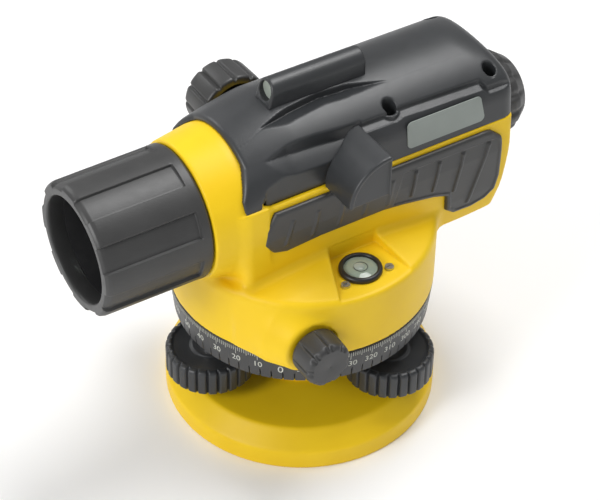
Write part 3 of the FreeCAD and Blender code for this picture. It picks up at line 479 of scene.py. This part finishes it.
def without_side_drop(shell, g):
    """Cuts the dropped shoulder in front of the bubble hood."""
    edge = through(g.x, (-8.0, 22.6), (-3.0, 22.4), (8.0, 21.6), (22.0, 21.2), (34.0, 22.6), (41.0, 26.0))
    past = np.maximum(g.y - edge, 0)
    ledge = through(g.x, (-12.0, 147.0), (0.0, 147.3), (20.0, 148.3), (34.0, 150.2), (44.0, 151.5))
    ledge = ledge - 0.5 * past - 0.03 * past**2
    drop = np.maximum(np.maximum(edge - g.y, ledge - g.z), -12.0 - g.x)
    return carve(shell, drop, 0.6)


def without_step_line(shell, g):
    """Cuts the stepped line that runs past the screw wells above the label."""
    edge = [(-85.0, 26.2), (-73.0, 26.0), (-70.5, 23.4), (-31.0, 22.6), (-28.0, 23.2), (-5.0, 23.0)]
    edge = through(g.x, *edge)
    level = [(-85.0, 147.6), (-73.0, 147.8), (-70.5, 150.6), (-31.0, 151.6), (-28.0, 150.8), (-5.0, 151.0)]
    level = through(g.x, *level)
    line = np.maximum(edge - g.y, level - 0.9 - 0.4 * (g.y - edge) - g.z)
    line = np.maximum(np.maximum(line, g.x + 9.0), g.y - edge - 3.2)
    return carve(shell, line, 0.3)


def without_arch(shell, g):
    """Cuts the shallow arched recess at the front of the side wall."""
    arch = [(38.6, 130.0), (37.6, 136.0), (35.2, 140.6), (31.4, 143.8), (26.0, 145.6), (18.0, 146.0)]
    arch = outline_distance(g.x, g.z, arch + [(4.0, 145.6), (-9.0, 144.5), (-9.0, 130.0)]) - 0.4
    back = through(g.x, (-9.0, 28.3), (30.0, 28.3), (35.0, 28.6), (38.0, 29.2))
    return carve(shell, np.maximum(arch, back - g.y), 0.35)


def without_inside(shell, g, top):
    """Cuts the room for the optics, the three openings and the screw wells."""
    upper = np.maximum(np.abs(g.y) - 19.0, g.z - (top - 4.6))
    lower = np.maximum(np.abs(g.y) - 24.6, g.z - 144.2)
    inner = common(np.minimum(upper, lower), np.abs(g.x + 23.0) - 60.5)
    inner = common(inner, (REAR - g.x) * 0.6 + (g.z - 150.5) * 0.8)
    shell = carve(shell, inner)
    around = from_axis(g)
    shell = carve(shell, np.maximum(around - 32.15, 36.0 - g.x))
    shell = carve(shell, np.maximum(around - EYEPIECE_HOLE, g.x + 78.5))
    across = np.hypot(g.x - FOCUS[0], g.z - FOCUS[1])
    shell = carve(shell, np.maximum(across - 11.2, g.y + 20.0))
    for x, y in COVER_SCREWS:
        across = np.hypot(g.x - x, g.y - y)
        shell = np.minimum(shell, rod(across, g.z, 4.2, SPLIT, SCREW_BOSS_TOP))
        shell = carve(shell, rod(across, g.z, 2.9, 139.8, 170.0), 0.3)
        shell = carve(shell, across - 1.55)
    return np.maximum(shell, SPLIT - g.z)


def cover():
    """Moulded top cover with its blade, side steps, arch, screw wells and barrel mouth."""
    g = Grid((-88.0, -32.4, 131.6), (47.6, 32.4, 162.0), 0.42)
    top = crown_height(g.x, g.y)
    shell = cover_outside(g, top)
    shell = without_blade(shell, g, top)
    for change in (without_side_drop, without_step_line, without_arch):
        shell = change(shell, g)
    return modelled("cover_moulding", without_inside(shell, g, top), g)


def with_rib(pad, g, out, place, slant, foot):
    """Adds one slanted rib, and the dot at its top on the wider part of the pad."""
    off = np.abs((g.x - place + slant * (g.z - GRIP_MIDDLE)) / math.hypot(1.0, slant))
    length = np.maximum(g.z - 124.2, foot - g.z)
    rib = common(np.maximum(off - 0.75, length), out - 2.6, 0.4)
    pad = join(pad, np.maximum(rib, 0.6 - out), 0.5)
    if place > -20:
        return pad
    dot_x = place - slant * 11.6
    dot = np.sqrt((g.x - dot_x) ** 2 + (g.z - 123.0) ** 2 + (out - 1.5) ** 2) - 1.1
    return join(pad, dot, 0.2)


def side_grip(side):
    """Ribbed rubber hand pad with a raised border, on one side wall."""
    g = Grid((-82.0, 26.4, 88.6), (41.0, 36.4, 131.4), 0.4)
    outline = [(33.0, 129.6), (-73.0, 129.6), (-78.4, 125.0), (-79.0, 104.0), (-77.5, 96.5), (-73.0, 92.6)]
    outline += [(-66.0, 90.9), (-57.0, 91.3), (-53.0, 94.5), (-52.0, 103.3), (-45.0, 105.7), (-29.0, 108.7)]
    outline += [(-19.0, 110.0), (12.0, 110.0), (28.0, 108.8), (34.0, 110.5), (38.4, 116.0), (37.6, 123.0)]
    flat = outline_distance(g.x, g.z, outline)
    flat = common(flat, (g.x - 33.6) * 0.8 + (107.0 - g.z) * 0.6, 3.0)
    flat = common(flat, -(g.x + 74.6) * 0.64 + (g.z - 128.6) * 0.77, 3.0) - 0.5
    wall = through(g.z, (84.0, 28.2), (98.0, 30.0), (118.0, 31.0), (SPLIT, 30.3))
    out = g.y - wall
    pad = common(flat, out - 2.2, 2.0)
    pad = np.maximum(pad, -out - 0.05)
    below = np.maximum(np.maximum(flat + 2.2, 1.7 - out), g.z - (126.0 + 0.01 * g.x))
    pad = carve(pad, np.maximum(below, g.x + 24.0 + 0.3 * (g.z - GRIP_MIDDLE)), 0.5)
    for place, slant, foot in GRIP_RIBS:
        pad = with_rib(pad, g, out, place, slant, foot)
    if side < 0:
        pad = carve(pad, np.hypot(g.x - FOCUS[0], g.z - FOCUS[1]) - 11.4)
    points, faces = skin(pad, g)
    if side < 0:
        points[:, 1] *= -1
        faces = faces[:, ::-1]
    return mesh_object("hand_pad_left" if side > 0 else "hand_pad_right", points, faces)


def bubble_hood():
    """Quarter round hood over the bubble with a raised rim round its end plate."""
    g = Grid((-12.4, 19.0, 130.9), (10.4, 49.0, 154.0), 0.36)
    across = np.hypot(g.x - MIRROR_X, g.z - SPLIT)
    body = common(across - MIRROR_RADIUS, g.y - MIRROR_END, 0.9)
    body = common(body, MIRROR_X - g.x, 0.5)
    body = common(body, SPLIT - g.z, 0.5)
    hollow = np.maximum(across - (MIRROR_RADIUS - 1.6), g.y - (MIRROR_END - 2.2))
    body = carve(body, hollow, 0.3)
    dish = np.maximum(across - (MIRROR_RADIUS - 1.9), (MIRROR_END - 0.8) - g.y)
    dish = np.maximum(dish, (MIRROR_X + 0.9) - g.x)
    body = carve(body, dish, 0.4)
    wall = through(g.z, (SPLIT, 29.6), (148.0, 28.2), (151.5, 23.6), (156.0, 20.5))
    body = carve(body, g.y - wall)
    return modelled("bubble_hood_moulding", body, g)


def sight():
    """Round topped sight bar with a sloping front that holds its window."""
    g = Grid((-27.0, -6.6, 158.8), (22.0, 6.6, 171.6), 0.36)
    rim = np.hypot(g.y, g.z - SIGHT_AXIS)
    base = np.abs(g.y) - (SIGHT_RADIUS + 0.04 * (SIGHT_AXIS - g.z))
    bar = np.where(g.z > SIGHT_AXIS, rim - SIGHT_RADIUS, base)
    bar = common(bar, -26.0 - g.x, 1.2)
    bar = common(bar, (g.x - 19.2) * 0.97 + (g.z - 165.0) * 0.25, 0.8)
    bar = common(bar, 159.6 - g.z)
    bar = carve(bar, np.maximum(rim - 4.05, 9.9 - g.x), 0.3)
    bar = carve(bar, rim - 2.05)
    return modelled("sight_bar", bar, g)


# ------------------------------------------------------------- turned pieces
def lens_hood():
    """Lens hood with shallow panels that run out at its front rim."""
    rear, front, radius = HOOD_REAR, HOOD_FRONT, HOOD_RADIUS
    outline = [
        (26.0, rear),
        (28.2, rear),
        (radius + 0.2, rear + 1.2),
        (radius, rear + 4.6),
        (radius, rear + 5.4),
        (radius - 0.1, rear + 20.0),
        (radius - 0.2, rear + 35.0),
        (radius - 0.3, front - 2.6),
        (radius - 0.8, front - 1.0),
        (radius - 1.7, front - 0.1),
        (27.0, front),
        (23.6, front),
        (23.1, front - 0.4),
        (22.9, front - 1.4),
        (22.9, 99.8),
        (26.0, 99.8),
    ]
    outline = softened(outline, 0.35, 2)

    def panels(r, h, a):
        span = 2 * math.pi / HOOD_PANELS
        off = np.abs((a - HOOD_FIRST_PANEL + span / 2) % span - span / 2)
        flat = 1 - step_between(off, math.radians(10.9), math.radians(11.7))
        depth = 1.25 * flat * step_between(h, rear + 4.7, rear + 5.2) * step_between(r, 24.6, 26.4)
        return r - depth, h

    return turned("lens_hood", outline, 480, along_x(0.0, AXIS), panels)


def polar(reach, angle):
    """Point at a distance and direction from the standing axis."""
    return reach * math.cos(angle), reach * math.sin(angle)


def foot_knob(index):
    """Foot screw knob: dished top, rim cut into square lands."""
    cx, cy = polar(FOOT_REACH, FOOT_FIRST + FOOT_STEP * (index - 1))
    low, high, radius = 24.0, 38.0, 19.7
    outline = [
        (3.5, low),
        (17.4, low),
        (18.6, low + 0.5),
        (radius, low + 1.8),
        (radius, low + 7.0),
        (radius, high - 1.6),
        (radius - 0.5, high - 0.5),
        (radius - 1.6, high),
        (radius - 2.6, high),
        (radius - 3.4, high - 0.6),
        (9.0, high - 1.0),
        (8.2, high - 0.2),
        (3.5, high - 0.2),
    ]
    outline = softened(outline, 0.5, 2)

    def lands(r, h, a):
        return r - 1.3 * lobes(a, 26, 7.0) * step_between(r, 16.6, 18.8), h

    return turned("foot_knob_grip_" + str(index), outline, 520, upright(cx, cy), lands)


def drive_knob(side):
    """Slow motion knob: broad lands, narrow grooves and small pits round its flat face."""
    near, far, radius = 53.0, 67.0, 10.5
    outline = [
        (3.0, near),
        (8.4, near),
        (9.6, near + 0.5),
        (radius, near + 1.6),
        (radius, near + 6.0),
        (radius - 0.2, far - 2.2),
        (radius - 0.7, far - 0.8),
        (radius - 1.8, far),
        (radius - 3.0, far),
        (0.05, far),
        (0.05, far - 3.8),
        (3.0, far - 3.8),
    ]
    outline = softened(outline, 0.5, 2)

    def lands(r, h, a):
        wall = step_between(r, 8.2, 9.4) * step_between(h, near + 1.0, near + 3.0)
        groove = 0.75 * lobes(a, 8, 26.0) * wall
        double = lobes(a, 8, 9.0, 0.13) + lobes(a, 8, 9.0, -0.13)
        pits = 0.8 * np.clip(double, 0, 1) * step_between(r, 8.0, 8.8) * step_between(h, far - 2.2, far - 0.6)
        return r - groove - pits, h - 0.35 * pits

    thing = turned("drive_knob_near" if side > 0 else "drive_knob_far", outline, 384, along_y(*DRIVE), lands)
    if side < 0:
        thing.data.transform(Matrix.Scale(-1, 4, (0, 1, 0)))
        thing.data.flip_normals()
    return thing


def focus_knob():
    """Focusing knob: a deep cup whose rim has broad lands."""
    near, far, radius = -35.5, -52.5, 16.1
    outline = [
        (12.4, near),
        (radius - 0.7, near),
        (radius, near - 0.9),
        (radius, near - 6.0),
        (radius - 0.3, far + 2.0),
        (radius - 0.9, far + 0.7),
        (radius - 2.2, far),
        (9.0, far),
        (8.2, far + 0.5),
        (0.05, far + 0.5),
        (0.05, -49.2),
        (2.5, -49.2),
        (2.5, -40.0),
        (6.0, -40.0),
        (6.0, -48.0),
        (12.4, -48.0),
    ]
    outline = softened(outline, 0.5, 2)

    def lands(r, h, a):
        return r - 1.1 * lobes(a, 12, 12.0) * step_between(r, 13.0, 14.6), h

    return turned("focus_knob_grip", outline, 480, along_y(*FOCUS), lands)


def eyepiece_grip():
    """Eyepiece ring with lobes and an eye cup."""
    outline = [
        (12.05, -89.8),
        (12.05, -99.8),
        (8.6, -101.5),
        (8.6, -105.0),
        (13.4, -105.0),
        (14.4, -104.4),
        (17.4, -100.2),
        (18.4, -98.9),
        (19.1, -96.0),
        (19.2, -91.0),
        (18.5, -89.8),
    ]
    outline = softened(outline, 0.5, 2)

    def lands(r, h, a):
        return r - 1.2 * lobes(a, 14, 3.0) * step_between(r, 15.5, 18.0), h

    return turned("eyepiece_grip", outline, 420, along_x(0.0, AXIS), lands)


def footplate():
    """Cast round footplate with softened edges and sockets for the ball feet."""
    g = Grid((-61.2, -61.2, -0.9), (61.2, 61.2, 17.6), 0.7)
    r = np.hypot(g.x, g.y)
    cone = (r - BASE_RADIUS + 0.1) * 0.67 + (g.z - 9.4) * 0.74
    plate = common(r - BASE_RADIUS, g.z - BASE_TOP, 0.4)
    plate = common(plate, cone, 0.7)
    plate = common(plate, -g.z, 0.9)
    hollow = np.maximum(np.maximum(24.5 - r, r - 50.0), g.z - BASE_HOLLOW_TOP)
    for i in range(6):
        a = math.radians(60.0 * i)
        along = g.x * math.cos(a) + g.y * math.sin(a)
        off = np.abs(g.y * math.cos(a) - g.x * math.sin(a))
        hollow = np.maximum(hollow, -np.maximum(off - 1.6, -along))
    feet = [FOOT_FIRST + FOOT_STEP * i for i in range(FOOT_COUNT)]
    for angle in feet:
        x, y = polar(FOOT_REACH, angle)
        hollow = np.maximum(hollow, 9.0 - np.hypot(g.x - x, g.y - y))
    plate = carve(plate, hollow, 0.4)
    for angle in feet:
        x, y = polar(FOOT_REACH, angle)
        across = np.hypot(g.x - x, g.y - y)
        ball = np.sqrt(across**2 + (g.z - BALL_HEIGHT) ** 2) - BALL_SEAT
        plate = carve(plate, np.minimum(ball, np.maximum(across - BALL_SEAT, BALL_HEIGHT - g.z)))
        x, y = polar(LEAF_SCREW_REACH, angle + FOOT_STEP / 2)
        screw = np.hypot(g.x - x, g.y - y)
        plate = carve(plate, np.minimum(screw - 1.9, np.maximum(screw - 3.8, g.z - BASE_HOLLOW_TOP)))
    plate = carve(plate, r - BUSH_RADIUS)
    return modelled("footplate_casting", plate, g)


# ------------------------------------------------------------- scale and bubble
def on_ring(angle, height, out):
    """Point on the circle's slightly conical face, standing out by the given amount."""
    rise = (height - RING_LOW) / (RING_HIGH - RING_LOW)
    radius = RING_LOW_RADIUS + (RING_HIGH_RADIUS - RING_LOW_RADIUS) * rise + out
    return radius * math.cos(angle), radius * math.sin(angle), height


def ring_patch(points, faces, centre, width, low, high):
    """Adds one thin raised mark, curved with the ring, to a mesh being listed."""
    start = len(points)
    for out in (-0.05, 0.06):
        for height in (low, high):
            for side in (-1, 1):
                points.append(on_ring(centre + side * width / 2 / SCALE_RADIUS, height, out))
    for face in ((0, 1, 3, 2), (4, 6, 7, 5), (0, 4, 5, 1), (2, 3, 7, 6), (0, 2, 6, 4), (1, 5, 7, 3)):
        faces.append([start + corner for corner in face])


def scale_marks():
    """Degree marks round the circle, longer at each five and ten degrees."""
    points, faces = [], []
    for degree in range(360):
        angle = INDEX_ANGLE - math.radians(degree)
        length = 4.3 if degree % 10 == 0 else 3.3 if degree % 5 == 0 else 2.4
        ring_patch(points, faces, angle, 0.24, SCALE_TOP - length, SCALE_TOP)
    return mesh_object("scale_marks", points, faces)


def scale_numbers():
    """Numbers at each ten degrees, cut from the built-in font and curved with the ring."""
    pieces = []
    for degree in range(0, 360, 10):
        text = bpy.data.curves.new("number", "FONT")
        text.body = str(degree)
        text.align_x = "CENTER"
        text.size = 5.4 if degree == 0 else 4.3
        text.extrude = 0.06
        text.resolution_u = 3
        holder = bpy.data.objects.new("number", text)
        bpy.context.scene.collection.objects.link(holder)
        bpy.context.view_layer.update()
        mesh = bpy.data.meshes.new_from_object(holder)
        bpy.data.objects.remove(holder)
        base = 53.3 if degree == 0 else 54.7
        angle = INDEX_ANGLE - math.radians(degree)
        for vertex in mesh.vertices:
            flat = vertex.co
            spot = on_ring(angle + flat.x / SCALE_RADIUS, base + flat.y, flat.z)
            vertex.co = Vector(spot) * MM
        pieces.append(mesh)
    whole = bpy.data.objects.new("scale_numbers", pieces[0])
    bpy.context.scene.collection.objects.link(whole)
    rest = []
    for mesh in pieces[1:]:
        thing = bpy.data.objects.new("number", mesh)
        bpy.context.scene.collection.objects.link(thing)
        rest.append(thing)
    with bpy.context.temp_override(
        active_object=whole, selected_editable_objects=[whole] + rest, selected_objects=[whole] + rest
    ):
        bpy.ops.object.join()
    return whole


def circle_body():
    """Graduated circle with narrow slits round its lower edge."""
    outline = [
        (52.8, RING_LOW),
        (55.3, RING_LOW),
        (55.95, 49.0),
        (56.4, 53.2),
        (56.42, 53.5),
        (57.25, 62.6),
        (56.9, RING_HIGH),
        (49.0, RING_HIGH),
        (49.0, 61.0),
        (52.8, 61.0),
    ]

    def slits(r, h, a):
        cut = lobes(a, 72, 60.0) * (1 - step_between(h, 52.6, 53.4)) * step_between(r, 53.5, 55.0)
        return r - 1.3 * cut, h

    return turned("circle_ring", outline, 2160, upright(0.0, 0.0), slits)


def bubble_ring():
    """Cup that holds the vial, with a rounded rim."""
    outline = [
        (0.05, 84.0),
        (8.0, 84.0),
        (8.0, POCKET_FLOOR),
        (9.2, POCKET_FLOOR),
        (9.2, 93.6),
        (8.9, 94.2),
        (8.2, 94.6),
        (7.4, 94.5),
        (7.1, 94.0),
        (7.1, 86.0),
        (0.05, 86.0),
    ]
    return turned("bubble_cup_ring", softened(outline, 0.25, 2), 128, upright(*BUBBLE))


def bubble_marks():
    """Centre circle marked on the vial."""
    outline = [(2.75, 94.02), (3.0, 94.02), (3.0, 94.14), (2.75, 94.14)]
    return turned("bubble_centre_circle", outline, 96, upright(*BUBBLE))


def bubble_air():
    """The bubble, a little off the centre."""
    outline = [(0.05, 94.0), (2.1, 93.95), (2.3, 94.0), (2.1, 94.2), (1.2, 94.42), (0.05, 94.5)]
    return turned("bubble_air", outline, 96, upright(BUBBLE[0] + 0.5, BUBBLE[1] - 0.6))


# ---------------------------------------------------------------- materials
def new_material(name):
    """An empty node material: (material, its node tree, the Principled shader)."""
    material = bpy.data.materials.new(name)
    material.use_nodes = True
    tree = material.node_tree
    shader = tree.nodes["Principled BSDF"]
    return material, tree, shader


def noise_at(tree, scale, detail=3.0):
    """A noise texture in the part's own coordinates; scale counts features per metre."""
    where = tree.nodes.new("ShaderNodeTexCoord")
    noise = tree.nodes.new("ShaderNodeTexNoise")
    noise.inputs["Scale"].default_value = scale
    noise.inputs["Detail"].default_value = detail
    noise.inputs["Roughness"].default_value = 0.55
    tree.links.new(where.outputs["Object"], noise.inputs["Vector"])
    return noise


def finish_of(name, colour, shade, blotch, rough, grain, grain_depth, metallic=0.0, specular=0.5):
    """A moulded, painted or machined surface.

    Its colour drifts between two tones, its roughness drifts too, and a fine grain
    lifts and drops the surface.
    """
    material, tree, shader = new_material(name)
    drift = noise_at(tree, blotch)
    tones = tree.nodes.new("ShaderNodeValToRGB")
    tones.color_ramp.elements[0].position = 0.3
    tones.color_ramp.elements[0].color = (*shade, 1)
    tones.color_ramp.elements[1].position = 0.7
    tones.color_ramp.elements[1].color = (*colour, 1)
    tree.links.new(drift.outputs["Fac"], tones.inputs["Fac"])
    tree.links.new(tones.outputs["Color"], shader.inputs["Base Color"])
    wear = noise_at(tree, blotch * 4)
    rough_range = tree.nodes.new("ShaderNodeMapRange")
    rough_range.inputs["To Min"].default_value = rough[0]
    rough_range.inputs["To Max"].default_value = rough[1]
    tree.links.new(wear.outputs["Fac"], rough_range.inputs["Value"])
    tree.links.new(rough_range.outputs["Result"], shader.inputs["Roughness"])
    fine = noise_at(tree, grain, detail=2.0)
    bump = tree.nodes.new("ShaderNodeBump")
    bump.inputs["Strength"].default_value = 1.0
    bump.inputs["Distance"].default_value = grain_depth * MM
    tree.links.new(fine.outputs["Fac"], bump.inputs["Height"])
    tree.links.new(bump.outputs["Normal"], shader.inputs["Normal"])
    shader.inputs["Metallic"].default_value = metallic
    shader.inputs["Specular IOR Level"].default_value = specular
    return material


def glass_of(name, colour, transmission, rough):
    """Clear glass with faint smears."""
    material, tree, shader = new_material(name)
    smear = noise_at(tree, 80)
    rough_range = tree.nodes.new("ShaderNodeMapRange")
    rough_range.inputs["To Min"].default_value = rough
    rough_range.inputs["To Max"].default_value = rough + 0.05
    tree.links.new(smear.outputs["Fac"], rough_range.inputs["Value"])
    tree.links.new(rough_range.outputs["Result"], shader.inputs["Roughness"])
    tones = tree.nodes.new("ShaderNodeValToRGB")
    tones.color_ramp.elements[0].color = (*[c * 0.92 for c in colour], 1)
    tones.color_ramp.elements[1].color = (*colour, 1)
    tree.links.new(smear.outputs["Fac"], tones.inputs["Fac"])
    tree.links.new(tones.outputs["Color"], shader.inputs["Base Color"])
    shader.inputs["Transmission Weight"].default_value = transmission
    shader.inputs["IOR"].default_value = 1.5
    return material


# two tones, blotches per metre, roughness range, grain per metre, grain depth in mm
FINISHES = {
    "yellow_paint": ((0.9, 0.6, 0.008), (0.86, 0.56, 0.006), 50, (0.4, 0.52), 1800, 0.03),
    "black_plastic": ((0.03, 0.032, 0.035), (0.023, 0.025, 0.027), 70, (0.36, 0.46), 2600, 0.03),
    "black_rubber": ((0.037, 0.037, 0.037), (0.03, 0.03, 0.03), 70, (0.4, 0.5), 1800, 0.04),
    "scale_black": ((0.045, 0.046, 0.048), (0.036, 0.037, 0.039), 70, (0.34, 0.46), 2600, 0.015),
    "scale_white": ((0.6, 0.61, 0.55), (0.5, 0.51, 0.46), 300, (0.4, 0.5), 2600, 0.01),
    "label_grey": ((0.27, 0.3, 0.28), (0.24, 0.27, 0.25), 60, (0.36, 0.5), 1500, 0.01),
    "black_anodised": ((0.018, 0.018, 0.019), (0.012, 0.012, 0.013), 80, (0.3, 0.42), 3000, 0.01),
    "bubble_pale": ((0.36, 0.4, 0.35), (0.3, 0.34, 0.3), 300, (0.08, 0.15), 2600, 0.005),
    "painted_head": ((0.03, 0.031, 0.033), (0.024, 0.025, 0.027), 60, (0.34, 0.46), 2200, 0.03),
}
METALS = {
    "steel": ((0.62, 0.62, 0.62), (0.5, 0.5, 0.5), 120, (0.2, 0.38), 3000, 0.01),
    "spring_steel": ((0.4, 0.42, 0.45), (0.33, 0.35, 0.38), 120, (0.25, 0.4), 3000, 0.01),
    "brass": ((0.75, 0.55, 0.22), (0.62, 0.44, 0.16), 120, (0.22, 0.4), 3000, 0.01),
    "aluminium": ((0.72, 0.73, 0.74), (0.6, 0.61, 0.62), 120, (0.25, 0.42), 3000, 0.01),
    "mirror_coat": ((0.8, 0.82, 0.84), (0.76, 0.78, 0.8), 30, (0.03, 0.06), 200, 0.002),
}
SHEEN = {"yellow_paint": 0.35, "black_plastic": 0.6, "black_rubber": 0.65}

slots = {name: finish_of(name, *looks, specular=SHEEN.get(name, 0.5)) for name, looks in FINISHES.items()}
slots.update({name: finish_of(name, *looks, metallic=1.0) for name, looks in METALS.items()})
slots["optical_glass"] = glass_of("optical_glass", (0.93, 0.97, 0.95), 1.0, 0.02)
slots["vial_glass"] = glass_of("vial_glass", (0.62, 0.74, 0.6), 0.55, 0.05)

node_slot = {part["node"]: part["material_slot"] for part in frame["record"]["subparts"]}


def dress(thing, material):
    """The thing's only material."""
    thing.data.materials.clear()
    thing.data.materials.append(material)


node_slot["sight_lens"] = "bubble_pale"  # a frosted window
for node, thing in frame["nodes"].items():
    dress(thing, slots[node_slot[node]])
    thing.data.shade_smooth()
    thing.data.set_sharp_from_angle(angle=SMOOTH_BELOW)


# ---------------------------------------------------------------- pieces in the CAD's places
node_body = {n: body for body, members in frame["record"]["behaviour"]["bodies"].items() for n in members}


def stand_in(piece, *nodes):
    """The piece takes the place, the motion and the finish of CAD nodes."""
    dress(piece, slots[node_slot[nodes[0]]])
    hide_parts(*nodes)
    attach(piece, node_body[nodes[0]])


stand_in(housing(), "body_housing")
stand_in(cover(), "top_cover")
stand_in(side_grip(1), "side_grip_left")
stand_in(side_grip(-1), "side_grip_right")
stand_in(bubble_hood(), "mirror_hood")
stand_in(sight(), "collimator_sight")
stand_in(lens_hood(), "objective_hood")
for number in (1, 2, 3):
    stand_in(foot_knob(number), "foot_knob_" + str(number))
stand_in(drive_knob(1), "drive_knob_left")
stand_in(drive_knob(-1), "drive_knob_right")
stand_in(focus_knob(), "focus_knob")
stand_in(eyepiece_grip(), "eyepiece_ring")
stand_in(footplate(), "base_plate")
stand_in(circle_body(), "horizontal_circle")
stand_in(bubble_ring(), "bubble_cup")


def add_on(piece, body, material):
    """A mark or small detail that stands for no CAD node of its own."""
    dress(piece, slots[material])
    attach(piece, body)


add_on(scale_marks(), "circle", "scale_white")
add_on(scale_numbers(), "circle", "scale_white")
add_on(bubble_marks(), "telescope", "scale_black")
add_on(bubble_air(), "telescope", "bubble_pale")


# ---------------------------------------------------------------- studio
def lamp(name, spot, aim, size, power):
    """A soft square light."""
    data = bpy.data.lights.new(name, "AREA")
    data.shape = "SQUARE"
    data.size = size
    data.energy = power
    thing = bpy.data.objects.new(name, data)
    bpy.context.scene.collection.objects.link(thing)
    thing.location = spot
    thing.rotation_euler = (Vector(aim) - Vector(spot)).to_track_quat("-Z", "Y").to_euler()


def studio():
    """Pale floor, pale surroundings and soft lights."""
    underside = (0, 0, cad_box[0][2])
    bpy.ops.mesh.primitive_grid_add(x_subdivisions=8, y_subdivisions=8, size=12, location=underside)
    floor = bpy.context.object
    floor.name = "floor"
    material, tree, shader = new_material("floor_paper")
    fibre = noise_at(tree, 6)
    tones = tree.nodes.new("ShaderNodeValToRGB")
    tones.color_ramp.elements[0].color = (0.95, 0.95, 0.95, 1)
    tones.color_ramp.elements[1].color = (0.98, 0.98, 0.98, 1)
    tree.links.new(fibre.outputs["Fac"], tones.inputs["Fac"])
    tree.links.new(tones.outputs["Color"], shader.inputs["Base Color"])
    shader.inputs["Roughness"].default_value = 0.9
    dress(floor, material)
    world = bpy.data.worlds.new("studio")
    world.use_nodes = True
    world.node_tree.nodes["Background"].inputs["Color"].default_value = (1, 1, 1, 1)
    world.node_tree.nodes["Background"].inputs["Strength"].default_value = 0.4
    bpy.context.scene.world = world
    bpy.context.scene.view_settings.view_transform = "Standard"
    lamp("key", (1.25, 0.2, 0.8), (0, 0, 0.09), 0.5, 10.5)
    lamp("top", (-0.42, -0.1, 1.22), (0, 0, 0.12), 0.6, 10)
    lamp("rim", (0.3, -1.1, 0.8), (0, 0, 0.09), 0.5, 3)


CAMERA_SPOT = (0.365501, 0.561388, 0.655465)
CAMERA_AZIMUTH = math.radians(146.996)
CAMERA_ELEVATION = math.radians(41.023)
CAMERA_ROLL = math.radians(1.139)
CAMERA_LENS = 123.43


def camera():
    """A long lens from above, in front of the objective on the bubble's side."""
    level = math.cos(CAMERA_ELEVATION)
    back = Vector(
        (math.sin(CAMERA_AZIMUTH) * level, -math.cos(CAMERA_AZIMUTH) * level, math.sin(CAMERA_ELEVATION))
    )
    right = Vector((0, 0, 1)).cross(back).normalized()
    up = back.cross(right)
    across = right * math.cos(CAMERA_ROLL) + up * math.sin(CAMERA_ROLL)
    upward = up * math.cos(CAMERA_ROLL) - right * math.sin(CAMERA_ROLL)
    data = bpy.data.cameras.new("camera")
    data.lens = CAMERA_LENS
    data.sensor_width = 36
    thing = bpy.data.objects.new("camera", data)
    bpy.context.scene.collection.objects.link(thing)
    turn = Matrix((across, upward, back)).transposed().to_4x4()
    thing.matrix_world = Matrix.Translation(Vector(CAMERA_SPOT)) @ turn
    bpy.context.scene.camera = thing


studio()
camera()
